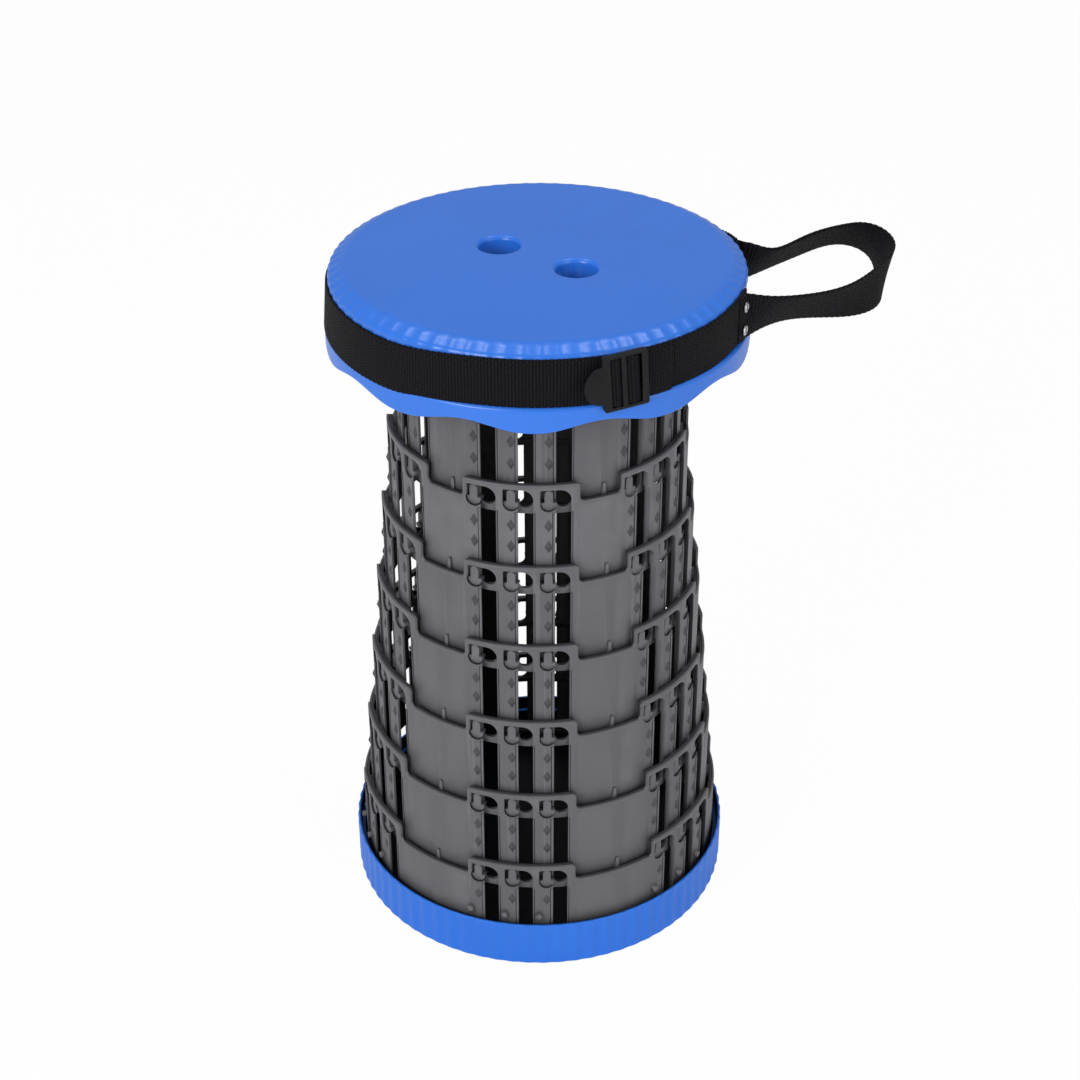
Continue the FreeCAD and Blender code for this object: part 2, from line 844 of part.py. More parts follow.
def make_base():
    """The cup that the outermost ring stands in."""
    body = new_body("base_cup")
    radius = size("base_radius")
    inner = radius - size("base_wall")
    rim = size("base_height")
    low = size("base_lift")
    floor = size("base_floor")
    bend = size("base_round")
    bead = inner - size("bead_proud")
    bead_low = size("bead_height")
    bead_top = bead_low + size("bead_depth")
    profile = sketch_on(body, "XZ_Plane")
    outline(
        profile,
        [
            (0, low),
            (radius - bend, low, bend, -1),
            (radius, low + bend),
            (radius, rim - bend, bend, -1),
            (radius - bend, rim),
            (inner, rim),
            (inner, bead_top),
            (bead, bead_top),
            (bead, bead_low),
            (inner, bead_low),
            (inner, floor),
            (0, floor),
        ],
    )
    revolve(body, profile)
    doc.recompute()
    cut_flutes(body, radius, 0)
    opening = size("pad_radius") + size("pad_room")
    middle = sketch_on(body, "XY_Plane")
    circle(middle, 0, 0, opening)
    cut(body, middle, size("pad_depth"))
    recess = sketch_on(body, "XY_Plane")
    circle(recess, *around("pad_circle", "pad_turn"), opening)
    repeat(body, [cut(body, recess, size("pad_depth"))], size("pad_count"))
    doc.recompute()
    return keep("base_cup", body)


def make_foot_pads():
    """Rubber discs let into the underside of the base, one in the middle and the rest round it."""
    body = new_body("foot_pads")
    middle = sketch_on(body, "XY_Plane")
    circle(middle, 0, 0, size("pad_radius"))
    pad(body, middle, size("pad_depth"))
    sketch = sketch_on(body, "XY_Plane")
    circle(sketch, *around("pad_circle", "pad_turn"), size("pad_radius"))
    repeat(body, [pad(body, sketch, size("pad_depth"))], size("pad_count"))
    doc.recompute()
    return keep("foot_pads", body)


def add_band(body, start, end, inner, outer):
    """Webbing on edge round the axis, between two bearings."""
    sketch = sketch_on(body, "XZ_Plane", turn=start - 90)
    low = size("web_height") - size("web_width") / 2
    high = low + size("web_width")
    outline(sketch, [(inner, low), (outer, low), (outer, high), (inner, high)])
    revolve(body, sketch, end - start)


def make_short_strap():
    """From the buckle, where its end is sewn double, to the front rivets."""
    body = new_body("strap_short")
    add_band(body, size("short_start"), size("short_end"), web_inner(), web_outer())
    middle = web_inner() + size("web_thick") / 2
    add_band(body, size("fold_start"), size("fold_end"), middle, web_outer() + size("web_thick"))
    doc.recompute()
    cut_rivet_holes(body, size("front_rivets_turn"))
    return keep("strap_short", body)


def make_long_strap():
    """From the back rivets, round the left side, to the buckle."""
    body = new_body("strap_long")
    add_band(body, size("long_start"), size("long_end"), web_inner(), web_outer())
    doc.recompute()
    cut_rivet_holes(body, size("back_rivets_turn"))
    return keep("strap_long", body)


def outwards(bearing):
    """The level direction that points out from the axis at a bearing."""
    return FreeCAD.Vector(sine(bearing).value, -cosine(bearing).value, 0)


def along(bearing):
    """The level direction of rising bearings at a bearing."""
    return FreeCAD.Vector(cosine(bearing).value, sine(bearing).value, 0)


def rounded_runs(corners, share):
    """Straight runs through corners, joined by tangent arcs."""
    edges = []
    here = corners[0]
    for before, corner, after in zip(corners, corners[1:], corners[2:]):
        back = before - corner
        on = after - corner
        reach = share * min(back.Length, on.Length)
        back.normalize()
        on.normalize()
        start = corner + back * reach
        end = corner + on * reach
        half_turn = back.getAngle(on) / 2
        radius = reach * math.tan(half_turn)
        centre = corner + (back + on).normalize() * (reach / math.cos(half_turn))
        middle = centre + (corner - centre).normalize() * radius
        edges.append(Part.LineSegment(here, start).toShape())
        edges.append(Part.Arc(start, middle, end).toShape())
        here = end
    edges.append(Part.LineSegment(here, corners[-1]).toShape())
    return edges


def make_carry_loop():
    """Webbing loop on edge, its two ends riveted over the strap ends."""
    radius = loop_inner().value
    face = web_outer().value
    front_end, front, back, back_end = [
        size(name) for name in ("loop_front_end", "loop_front_leave", "loop_back_leave", "loop_back_end")
    ]
    lead = size("loop_lead").value
    leave = outwards(front) * radius
    rejoin = outwards(back) * radius
    corners = [leave, leave + along(front) * lead]
    corners += [FreeCAD.Vector(face + out, across, 0) for out, across in LOOP_CORNERS]
    corners += [rejoin - along(back) * lead, rejoin]
    front_middle = (front_end + front) / 2
    back_middle = (back + back_end) / 2
    first_lap = Part.Arc(outwards(front_end) * radius, outwards(front_middle) * radius, leave)
    last_lap = Part.Arc(rejoin, outwards(back_middle) * radius, outwards(back_end) * radius)
    edges = [first_lap.toShape()] + rounded_runs(corners, size("loop_bend").value) + [last_lap.toShape()]
    side = Part.Wire(edges)
    flat = side.makeOffset2D(size("web_thick").value, fill=True, openResult=True)
    width = size("web_width").value
    band = flat.extrude(FreeCAD.Vector(0, 0, width))
    for turn in (size("front_rivets_turn"), size("back_rivets_turn")):
        for end in (-1, 1):
            height = width / 2 + end * size("rivet_spacing").value / 2
            foot = outwards(turn) * wall_inner().value + FreeCAD.Vector(0, 0, height)
            length = (loop_outer() - wall_inner() + size("rivet_head")).value
            hole = Part.makeCylinder(shank_hole().value, length, foot, outwards(turn))
            band = band.cut(hole)
    loop = doc.addObject("Part::Feature", "carry_loop")
    loop.Shape = band
    loop.Placement.Base.z = (size("web_height") - size("web_width") / 2).value
    return keep("carry_loop", loop)


def make_rivets(name, turn):
    """A pair of rivets through the loop end, the strap and the seat wall."""
    body = new_body(name)
    tail = wall_inner() - size("washer_seat") - size("washer_thick") - size("rivet_tail")
    face = loop_outer() + size("rivet_seat")
    end = face + size("rivet_head_depth")
    shanks = sketch_on(body, "XZ_Plane", turn=turn, out=tail)
    rivet_circles(shanks, size("shank_radius"))
    pad(body, shanks, face - tail)
    heads = sketch_on(body, "XZ_Plane", turn=turn, out=face)
    rivet_circles(heads, size("rivet_head"))
    pad(body, heads, size("rivet_head_depth"))

    def is_rim(edge):
        out = edge.CenterOfMass.dot(outwards(turn))
        return is_circle(edge, size("rivet_head")) and out > end.value - NEAR

    round_edges(body, size("rivet_head_round"), is_rim)
    return keep(name, body)


def make_washers(name, turn):
    """The two flat washers inside the seat wall that back a rivet pair."""
    body = new_body(name)
    sketch = sketch_on(body, "XZ_Plane", turn=turn, out=wall_inner() - size("washer_seat"))
    rivet_circles(sketch, size("washer_radius"))
    rivet_circles(sketch, shank_hole())
    pad(body, sketch, size("washer_thick"), inward=True)
    doc.recompute()
    return keep(name, body)


def tilted(corner):
    """A buckle corner, turned with the buckle and raised to its place."""
    x = plain(corner[0])
    y = plain(corner[1])
    turn = size("buckle_tilt")
    across = x * cosine(turn) - y * sine(turn)
    height = x * sine(turn) + y * cosine(turn) + size("buckle_height")
    return (across, height) + tuple(corner[2:])


def make_buckle():
    """Ladder lock: a frame with two windows and a thumb tab on its left."""
    body = new_body("ladder_lock")
    turn = size("buckle_turn")
    back = size("flange_radius") + size("buckle_room")
    half = size("buckle_length") / 2
    high = size("buckle_width") / 2
    bend = size("buckle_corner")
    frame = sketch_on(body, "XZ_Plane", turn=turn, out=back)
    corners = [
        (-half + bend, -high),
        (half - bend, -high, bend, -1),
        (half, -high + bend),
        (half, high - bend, bend, -1),
        (half - bend, high),
        (-half + bend, high, bend, -1),
        (-half, high - bend),
        (-half, -high + bend, bend, -1),
    ]
    outline(frame, [tilted(corner) for corner in corners])
    inside = high - size("buckle_rail")
    windows = [
        (-half + size("tab_bar"), size("ladder_left")),
        (size("ladder_right"), half - size("fixed_bar")),
    ]
    for left, right in windows:
        corners = [(left, -inside), (right, -inside), (right, inside), (left, inside)]
        outline(frame, [tilted(corner) for corner in corners])
    pad(body, frame, size("buckle_thick"))
    tab = sketch_on(body, "XZ_Plane", turn=turn, out=back + size("buckle_thick") - size("tab_thick"))
    round_end = size("tab_radius")
    root = -half + bend
    corners = [
        (root, round_end),
        (-half, round_end, round_end, -1),
        (-half - round_end, 0, round_end, -1),
        (-half, -round_end),
        (root, -round_end),
    ]
    outline(tab, [tilted(corner) for corner in corners])
    pad(body, tab, size("tab_thick"))
    doc.recompute()
    return keep("ladder_lock", body)


def check():
    """Stop on a failed object, a cut that cuts nothing or a broken sub-part."""
    doc.recompute()
    for thing in doc.Objects:
        if "Invalid" in thing.State or "Error" in thing.State:
            raise ValueError(f"{thing.Name} is {thing.State}")
        if thing.TypeId == "PartDesign::Pocket":
            if thing.Shape.Volume > thing.BaseFeature.Shape.Volume - NEAR:
                raise ValueError(f"{thing.Name} cuts nothing")
    for name, thing in parts.items():
        shape = thing.Shape
        if shape.isNull() or not shape.isValid():
            raise ValueError(f"{name} has no valid shape")
        print(name, len(shape.Solids), "solids,", round(shape.Volume), "cubic mm")


make_seat()
make_seat_screws()
for ring_number in range(1, RING_COUNT + 1):
    make_ring(ring_number)
make_base()
make_foot_pads()
make_short_strap()
make_long_strap()
make_carry_loop()
make_buckle()
for side in ("front", "back"):
    make_rivets(f"{side}_rivets", size(f"{side}_rivets_turn"))
    make_washers(f"{side}_washers", size(f"{side}_rivets_turn"))
check()
os.makedirs("parts", exist_ok=True)
for name, thing in parts.items():
    thing.Shape.exportStep(os.path.join("parts", f"{name}.step"))
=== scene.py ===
"""Collapsible telescopic stool: the look of its seat, rings, base and webbing.

The file is laid out as an add-on. Sizes and colours are properties, each
piece or group of like pieces has an operator, and a panel in the sidebar
lists them. The frame is in metres, +Z up, its origin on the floor under
the middle of the base. Bearings go from the front (-Y) to the right (+X)."""

import math

import bpy
import numpy as np
from bpy.props import FloatProperty, FloatVectorProperty, IntProperty, PointerProperty
from mathutils import Matrix, Vector
from mathutils.geometry import delaunay_2d_cdt


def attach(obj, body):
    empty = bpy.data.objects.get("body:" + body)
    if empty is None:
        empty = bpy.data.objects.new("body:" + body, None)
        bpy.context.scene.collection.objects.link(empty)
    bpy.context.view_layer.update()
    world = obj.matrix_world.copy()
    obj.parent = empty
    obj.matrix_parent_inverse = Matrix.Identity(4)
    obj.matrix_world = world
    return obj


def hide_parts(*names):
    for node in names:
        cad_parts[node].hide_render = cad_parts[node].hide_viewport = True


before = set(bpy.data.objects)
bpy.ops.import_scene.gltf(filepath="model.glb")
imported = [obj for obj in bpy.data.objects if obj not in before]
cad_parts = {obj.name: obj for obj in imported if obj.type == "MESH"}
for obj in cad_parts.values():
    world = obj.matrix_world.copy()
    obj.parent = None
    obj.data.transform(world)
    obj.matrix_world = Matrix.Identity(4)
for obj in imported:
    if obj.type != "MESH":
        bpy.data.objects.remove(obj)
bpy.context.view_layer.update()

bl_info = {
    "name": "Telescopic stool",
    "version": (1, 0, 0),
    "blender": (4, 5, 0),
    "location": "3D View > Sidebar > Stool",
    "description": "Adds a collapsible stool of nested rings with a webbing strap",
    "category": "Object",
}

MM = 0.001
UP = np.array([0, 0, 1.0])
MERGE = 2e-6
TINY = 1e-12


# Settings

def length(name, description, default):
    limits = {"min": 0.0, "unit": "LENGTH", "precision": 5}
    return FloatProperty(name=name, description=description, default=default, **limits)


def angle(name, description, degrees):
    return FloatProperty(name=name, description=description, default=math.radians(degrees), subtype="ANGLE")


def colour(name, description, default):
    limits = {"size": 3, "min": 0.0, "max": 1.0, "subtype": "COLOR"}
    return FloatVectorProperty(name=name, description=description, default=default, **limits)


class SeatSettings(bpy.types.PropertyGroup):
    """The seat, and the colour and flutes that the base shares with it."""

    colour: colour("Blue", "Colour of the seat and the base", (0.022, 0.165, 0.700))
    radius: length("Seat radius", "Outer radius of the seat wall", 0.125)
    height: length("Seat height", "Floor to the top of the open seat", 0.450)
    flange_radius: length("Flange radius", "Outer radius of the wavy flange", 0.1288)
    shelf: length("Shelf height", "Floor to the shelf that the strap lies on", 0.4150)
    wave_low: length("Wave low point", "Floor to the low points of the flange edge", 0.3993)
    wave_rise: length("Wave rise", "Height of the wave in the flange edge", 0.006)
    wave_count: IntProperty(name="Waves", description="Waves round the flange edge", default=10, min=3)
    flutes: IntProperty(name="Flutes", description="Upright flutes round seat and base", default=75, min=3)
    flute_depth: length("Flute depth", "Depth of one flute", 0.00042)
    flat_radius: length("Flat radius", "Radius of the flat middle of the seat", 0.1138)
    soft: length("Soft edge", "Radius of the edge next to the flat middle", 0.013)
    lip: length("Lip", "How far the edge stands proud of the wall", 0.0006)
    hole_radius: length("Finger hole radius", "Radius of a finger hole", 0.0125)
    hole_mouth: length("Finger hole rounding", "Rounding of the mouth of a finger hole", 0.003)


class BaseSettings(bpy.types.PropertyGroup):
    """The cup that the outermost ring stands in."""

    radius: length("Base radius", "Outer radius of the base", 0.1275)
    height: length("Base height", "Floor to the rim of the base", 0.0333)
    flute_depth: length("Flute depth", "Depth of one flute of the base", 0.0009)


class RingSettings(bpy.types.PropertyGroup):
    """The eight rings."""

    colour: colour("Grey", "Colour of the rings", (0.105, 0.103, 0.112))
    edge: length("Edge rounding", "Rounding of the edges of a ring", 0.0005)
    bead: length("Rim bead", "Radius of the bead along the upper rim", 0.00142)
    mark: length("Mark height", "How far the small pyramids stand proud", 0.0016)


class WebbingSettings(bpy.types.PropertyGroup):
    """The strap and the carry loop."""

    colour: colour("Black", "Colour of the webbing", (0.0034, 0.0033, 0.0043))
    width: length("Width", "Width of the webbing", 0.0294)
    thickness: length("Thickness", "Thickness of the webbing", 0.0019)
    rib: length("Rib pitch", "From one cross rib of the weave to the next", 0.0019)


class FittingSettings(bpy.types.PropertyGroup):
    """Buckle, rivets, screws and pads."""

    buckle: colour("Buckle", "Colour of the ladder lock buckle", (0.0040, 0.0039, 0.0052))
    steel: colour("Steel", "Colour of rivets, washers and screws", (0.58, 0.58, 0.60))
    rubber: colour("Rubber", "Colour of the foot pads", (0.020, 0.020, 0.021))


class StageSettings(bpy.types.PropertyGroup):
    """Floor, light and camera."""

    lens: FloatProperty(name="Lens", description="Focal length in millimetres", default=67.097, min=10.0)
    away: length("Distance", "Camera in front of the axis of the stool", 1.11043)
    height: length("Height", "Camera above the floor", 0.93786)
    pitch: angle("Pitch", "How far the camera looks down", 31.7519)
    roll: angle("Roll", "How far the camera leans to one side", -0.1855)
    shift: FloatProperty(name="Shift", description="Sideways shift of the camera's frame", default=0.0015)


GROUPS = {
    "stool_seat": SeatSettings,
    "stool_base": BaseSettings,
    "stool_rings": RingSettings,
    "stool_webbing": WebbingSettings,
    "stool_fittings": FittingSettings,
    "stool_stage": StageSettings,
}


# Surfaces

def unit(vectors):
    """Each vector of a list at length one."""
    return vectors / np.linalg.norm(vectors, axis=1, keepdims=True)


def run_along(path):
    """Distance from the start of a path to each of its points."""
    return np.concatenate([[0], np.cumsum(np.linalg.norm(np.diff(path, axis=0), axis=1))])


def stacked(*parts):
    """Coordinates that broadcast against each other, put together as points."""
    return np.stack(np.broadcast_arrays(*parts), -1)


def full_turn(count):
    """Evenly spaced angles over one full turn, in radians."""
    return np.arange(count) / count * 2 * math.pi


def grid_patch(points, uv=None, around=False, along=False, flip=False):
    """Quads between the neighbours of a (rows, columns, 3) grid of points.

    around joins the last column to the first one, and along the last row to
    the first one. uv is a (rows, columns, 2) grid for the corners."""
    rows, columns = points.shape[:2]
    r = np.arange(rows if along else rows - 1)[:, None]
    c = np.arange(columns if around else columns - 1)[None, :]
    corners = [(r, c), (r, c + 1), (r + 1, c + 1), (r + 1, c)]
    index = [(a % rows) * columns + b % columns for a, b in corners]
    quads = stacked(*index).reshape(-1, 4)
    if uv is None:
        cell = np.zeros((len(quads), 4, 2))
    else:
        a, b = np.gradient(uv, axis=0), np.gradient(uv, axis=1)
        base = uv[r % rows, c % columns]
        down, right = a[r % rows, c % columns], b[r % rows, c % columns]
        cell = np.stack([base, base + right, base + right + down, base + down], 2).reshape(-1, 4, 2)
    if flip:
        quads, cell = quads[:, ::-1], cell[:, ::-1]
    return points.reshape(-1, 3), quads, cell


def fan_patch(rim, centre, flip=False):
    """Triangles from a closed rim of points to one point inside it."""
    count = len(rim)
    here = np.arange(count)
    tip = np.full(count, count)
    triangles = np.stack([here, (here + 1) % count, tip, tip], -1)
    points = np.vstack([rim, [centre]])
    if flip:
        triangles = triangles[:, [1, 0, 2, 3]]
    return points, triangles, np.zeros((count, 4, 2))


def flat_patch(loops, height, flip=False):
    """A level face between an outer loop and the holes in it, at one height."""
    flat = np.vstack(loops)
    starts = np.cumsum([0] + [len(loop) for loop in loops])
    rims = [np.arange(a, b) for a, b in zip(starts, starts[1:])]
    edges = np.vstack([np.stack([rim, np.roll(rim, -1)], -1) for rim in rims])
    corners, inside_only, nearest = [Vector(p) for p in flat.tolist()], 1, 1e-7
    found = delaunay_2d_cdt(corners, edges.tolist(), [rims[0].tolist()], inside_only, nearest)
    points = np.array([tuple(p) for p in found[0]])
    triangles = np.array(found[2])
    middle = points[triangles].mean(1)
    keep = np.ones(len(triangles), bool)
    for hole in loops[1:]:
        centre = hole.mean(0)
        reach = np.linalg.norm(hole - centre, axis=1).min() * 0.999
        keep &= np.linalg.norm(middle - centre, axis=1) > reach
    triangles = triangles[keep]
    a, b, c = (points[triangles[:, k]] for k in range(3))
    area = (b[:, 0] - a[:, 0]) * (c[:, 1] - a[:, 1]) - (b[:, 1] - a[:, 1]) * (c[:, 0] - a[:, 0])
    wrong = area < 0 if not flip else area > 0
    triangles[wrong] = triangles[wrong][:, ::-1]
    quads = np.hstack([triangles, triangles[:, 2:]])
    return np.hstack([points, np.full((len(points), 1), height)]), quads, np.zeros((len(quads), 4, 2))


def moved(patch, matrix):
    """A patch under a 4 by 4 matrix."""
    m = np.array(matrix)
    return patch[0] @ m[:3, :3].T + m[:3, 3], patch[1], patch[2]


def make_mesh(name, patches, smooth=True):
    """One mesh from patches.

    Points that round to the same multiple of MERGE become one. A quad two of
    whose corners meet becomes a triangle, and one with fewer than three
    corners left goes."""
    points = np.concatenate([p for p, _, _ in patches])
    starts = np.cumsum([0] + [len(p) for p, _, _ in patches[:-1]])
    quads = np.concatenate([q + s for (_, q, _), s in zip(patches, starts)])
    cells = np.concatenate([u for _, _, u in patches])
    places = np.round(points / MERGE).astype(np.int64)
    _, first, back = np.unique(places, axis=0, return_index=True, return_inverse=True)
    points, quads = points[first], back.ravel()[quads]
    keep = quads != np.roll(quads, -1, axis=1)
    good = keep.sum(1) >= 3
    quads, keep, cells = quads[good], keep[good], cells[good]
    sizes = keep.sum(1)
    loops = quads[keep]
    mesh = bpy.data.meshes.new(name)
    mesh.vertices.add(len(points))
    mesh.vertices.foreach_set("co", points.astype(np.float32).ravel())
    mesh.loops.add(len(loops))
    mesh.loops.foreach_set("vertex_index", loops.astype(np.int32))
    mesh.polygons.add(len(sizes))
    mesh.polygons.foreach_set("loop_start", np.concatenate([[0], np.cumsum(sizes)[:-1]]).astype(np.int32))
    mesh.polygons.foreach_set("use_smooth", np.full(len(sizes), smooth))
    mesh.uv_layers.new(name="Cloth").data.foreach_set("uv", cells[keep].astype(np.float32).ravel())
    mesh.update(calc_edges=True)
    mesh.validate()
    return mesh


def rounded(corners, steps=6, closed=False):
    """A polyline with arcs for corners, each given by its x, its y and the radius of its arc.

    An arc touches both sides of its corner at radius / tan(half the angle
    between them), round a centre on the line that halves that angle."""
    table = np.array(corners, float)
    corners, radii = table[:, :2], table[:, 2].copy()
    if not closed:
        radii[[0, -1]] = 0
    soft = radii > 0
    back = unit(np.roll(corners, 1, 0) - corners)
    on = unit(np.roll(corners, -1, 0) - corners)
    half = np.arccos(np.clip((back * on).sum(1), -1, 1)) / 2
    half = np.where(soft, half, math.pi / 4)
    reach = (radii / np.tan(half))[:, None]
    middle = back + on
    size = np.maximum(np.linalg.norm(middle, axis=1, keepdims=True), TINY)
    inward = middle / size * (radii / np.sin(half))[:, None]
    centre = corners + np.where(soft[:, None], inward, 0)
    a, b = corners + back * reach - centre, corners + on * reach - centre
    start = np.arctan2(a[:, 1], a[:, 0])
    turn = (np.arctan2(b[:, 1], b[:, 0]) - start + math.pi) % (2 * math.pi) - math.pi
    turned = start[:, None] + turn[:, None] * np.linspace(0, 1, steps)
    arcs = centre[:, None] + radii[:, None, None] * np.stack([np.cos(turned), np.sin(turned)], -1)
    arcs[~soft] = corners[~soft][:, None]
    line = arcs.reshape(-1, 2)
    keep = np.linalg.norm(line - np.roll(line, 1, 0), axis=1) > 1e-9
    keep[0] = True
    return line[keep]


def resample(line, spacing):
    """Points on a polyline, all its corners among them, no further apart than spacing."""
    step = np.linalg.norm(np.diff(line, axis=0), axis=1)
    counts = np.maximum(np.ceil(step / spacing).astype(int), 1)
    piece = np.repeat(np.arange(len(counts)), counts)
    share = (np.arange(counts.sum()) - np.repeat(np.cumsum(counts) - counts, counts)) / counts[piece]
    inner = line[piece] + (line[piece + 1] - line[piece]) * share[:, None]
    return np.vstack([inner, line[-1:]])


def bearing_point(radius, bearing, height):
    """Points at a radius, a bearing in radians and a height."""
    return stacked(radius * np.sin(bearing), -radius * np.cos(bearing), height)


def out_and_side(bearing):
    """Unit vectors away from the axis and at a right angle to that, at a bearing in radians."""
    return bearing_point(1.0, bearing, 0.0), bearing_point(1.0, bearing + math.pi / 2, 0.0)


def circle_line(radius, count, x=0.0, y=0.0):
    """Points of a circle on the plane, anticlockwise from its +x side."""
    turn = full_turn(count)
    return np.stack([x + radius * np.cos(turn), y + radius * np.sin(turn)], -1)


def soft_less(a, b, room):
    """The smaller of two values, with a rounded change from one to the other."""
    near = np.maximum(room - np.abs(a - b), 0) / room
    return np.minimum(a, b) - near * near * room / 4


def swept(path, across, out, profile, shift=0.0, closed=False):
    """A closed profile carried along a path.

    At every station the profile's x and shift go along the unit vector across,
    and its y along the unit vector out. A path that isn't closed gets a fan at
    each end."""
    x, y = profile[None, :, 0], profile[None, :, 1:]
    grid = path[:, None] + across[:, None] * (x + shift)[..., None] + out[:, None] * y
    uv = stacked(run_along(path)[:, None], x)
    patches = [grid_patch(grid, uv, around=True, along=closed)]
    if not closed:
        patches += [fan_patch(grid[0], grid[0].mean(0)), fan_patch(grid[-1], grid[-1].mean(0), flip=True)]
    return patches


def turn_outwards(mesh):
    """Flip every face when the mesh encloses a negative volume."""
    mesh.calc_loop_triangles()
    co = np.empty(len(mesh.vertices) * 3)
    mesh.vertices.foreach_get("co", co)
    tri = np.empty(len(mesh.loop_triangles) * 3, np.int32)
    mesh.loop_triangles.foreach_get("vertices", tri)
    a, b, c = np.moveaxis(co.reshape(-1, 3)[tri.reshape(-1, 3)], 1, 0)
    if (a * np.cross(b, c)).sum() < 0:
        mesh.flip_normals()


# Materials

class Nodes:
    """A new material or world, and a short way to write its node tree."""

    def __init__(self, name, kind="Material"):
        owners = {"Material": bpy.data.materials, "World": bpy.data.worlds}[kind]
        self.owner = owners.new(name)
        self.owner.use_nodes = True
        self.tree = self.owner.node_tree
        self.tree.nodes.clear()
        self.out = self.add("Output" + kind)

    def add(self, kind, inputs=(), **settings):
        node = self.tree.nodes.new("ShaderNode" + kind)
        for key, value in settings.items():
            setattr(node, key, value)
        for key, value in dict(inputs).items():
            self.feed(node.inputs[key], value)
        return node

    def feed(self, socket, value):
        """A link from another node's socket, or a constant."""
        if isinstance(value, bpy.types.NodeSocket):
            self.tree.links.new(value, socket)
        else:
            socket.default_value = value

    def place(self, cloth=False, scale=(1, 1, 1)):
        source = self.add("TexCoord").outputs["UV" if cloth else "Object"]
        return self.add("Mapping", {"Vector": source, "Scale": scale}).outputs["Vector"]

    def noise(self, vector, scale, detail=3.0):
        inputs = {"Vector": vector, "Scale": scale, "Detail": detail, "Roughness": 0.55}
        return self.add("TexNoise", inputs).outputs["Fac"]

    def spread(self, value, low=0.0, high=1.0, start=0.3, end=0.7):
        """From low where the value is at start or under it to high where it is at end or over it."""
        inputs = {"Value": value, "From Min": start, "From Max": end, "To Min": low, "To Max": high}
        return self.add("MapRange", inputs).outputs["Result"]

    def maths(self, operation, *values):
        return self.add("Math", enumerate(values), operation=operation).outputs["Value"]

    def blend(self, factor, a, b):
        node = self.add("Mix", data_type="RGBA")
        for key, value in ((0, factor), (6, a), (7, b)):
            self.feed(node.inputs[key], value)
        return node.outputs[2]

    def bump(self, height, distance, strength):
        inputs = {"Height": height, "Distance": distance, "Strength": strength}
        return self.add("Bump", inputs).outputs["Normal"]

    def finish(self, shader):
        self.feed(self.out.inputs["Surface"], shader.outputs[0])
        return self.owner

    def principled(self, inputs):
        return self.finish(self.add("BsdfPrincipled", inputs))

    def by_camera(self, lit, seen, share=1.0):
        """One shader for the light and another, by a share, for what the camera sees."""
        factor = self.maths("MULTIPLY", self.add("LightPath").outputs["Is Camera Ray"], share)
        return self.finish(self.add("MixShader", {0: factor, 1: lit.outputs[0], 2: seen.outputs[0]}))


WHITE = (1, 1, 1, 1)
BLACK = (0, 0, 0, 1)


def tint(colour, factor):
    """A lighter or darker tone of a colour, with its alpha."""
    return tuple(min(c * factor, 1.0) for c in colour) + (1.0,)


def shaded_inside(n, low, floor_radius):
    """Painted shade: the share of the colour left, all on outer faces and low on those that face the axis.

    floor_radius paints the same shade on all that is nearer the axis as well."""
    where = n.place(scale=(1, 1, 0))
    outward = n.add("VectorMath", {0: where}, operation="NORMALIZE").outputs["Vector"]
    pair = {0: outward, 1: n.add("NewGeometry").outputs["Normal"]}
    facing = n.add("VectorMath", pair, operation="DOT_PRODUCT").outputs["Value"]
    left = n.spread(facing, low, 1.0, -0.45, 0.25)
    if floor_radius:
        away = n.add("VectorMath", {0: where}, operation="LENGTH").outputs["Value"]
        left = n.maths("MULTIPLY", left, n.spread(away, low, 1.0, floor_radius, floor_radius + 0.0005))
    return left


def moulded_plastic(name, colour, rough, edge_wear_and_highlight, shine, inside=None, floor_radius=0.0, painted_shade_reach=0.0):
    """Satin plastic: a cloudy tone, a fine grain and edges lighter in patches, from wear and a painted
    highlight.

    inside is the share of the colour left in the painted shade within the rings, and
    the last argument the reach of the painted shade in corners, from ambient occlusion."""
    n = Nodes(name)
    where = n.place()
    cloud = n.noise(where, 11.0, 4.0)
    base = n.blend(n.spread(cloud), tint(colour, 0.97), tint(colour, 1.03))
    # convex edges lighter in patches: wear, with a painted highlight
    edge = n.spread(n.add("NewGeometry").outputs["Pointiness"], start=0.52, end=0.60)
    scuff_and_highlight = n.maths("MULTIPLY", edge, n.spread(n.noise(where, 60.0), 0.35, 0.8))
    base = n.blend(scuff_and_highlight, base, tint(colour, edge_wear_and_highlight))
    # painted shade on the faces that look towards the axis
    if inside is not None:
        base = n.blend(shaded_inside(n, inside, floor_radius), BLACK, base)
    # painted shade in corners and between parts, from ambient occlusion
    if painted_shade_reach:
        corner = n.add("AmbientOcclusion", {"Distance": painted_shade_reach}, samples=4).outputs["AO"]
        base = n.blend(n.spread(corner, 0.30, 1.0, 0.15, 0.85), BLACK, base)
    speck = n.spread(n.noise(where, 420.0, 2.0), rough - 0.02, rough + 0.03)
    fine = n.bump(n.noise(where, 1300.0, 2.0), 0.00003, 0.06)
    return n.principled({
        "Base Color": base, "Roughness": speck, "Normal": fine, "Specular IOR Level": shine,
    })


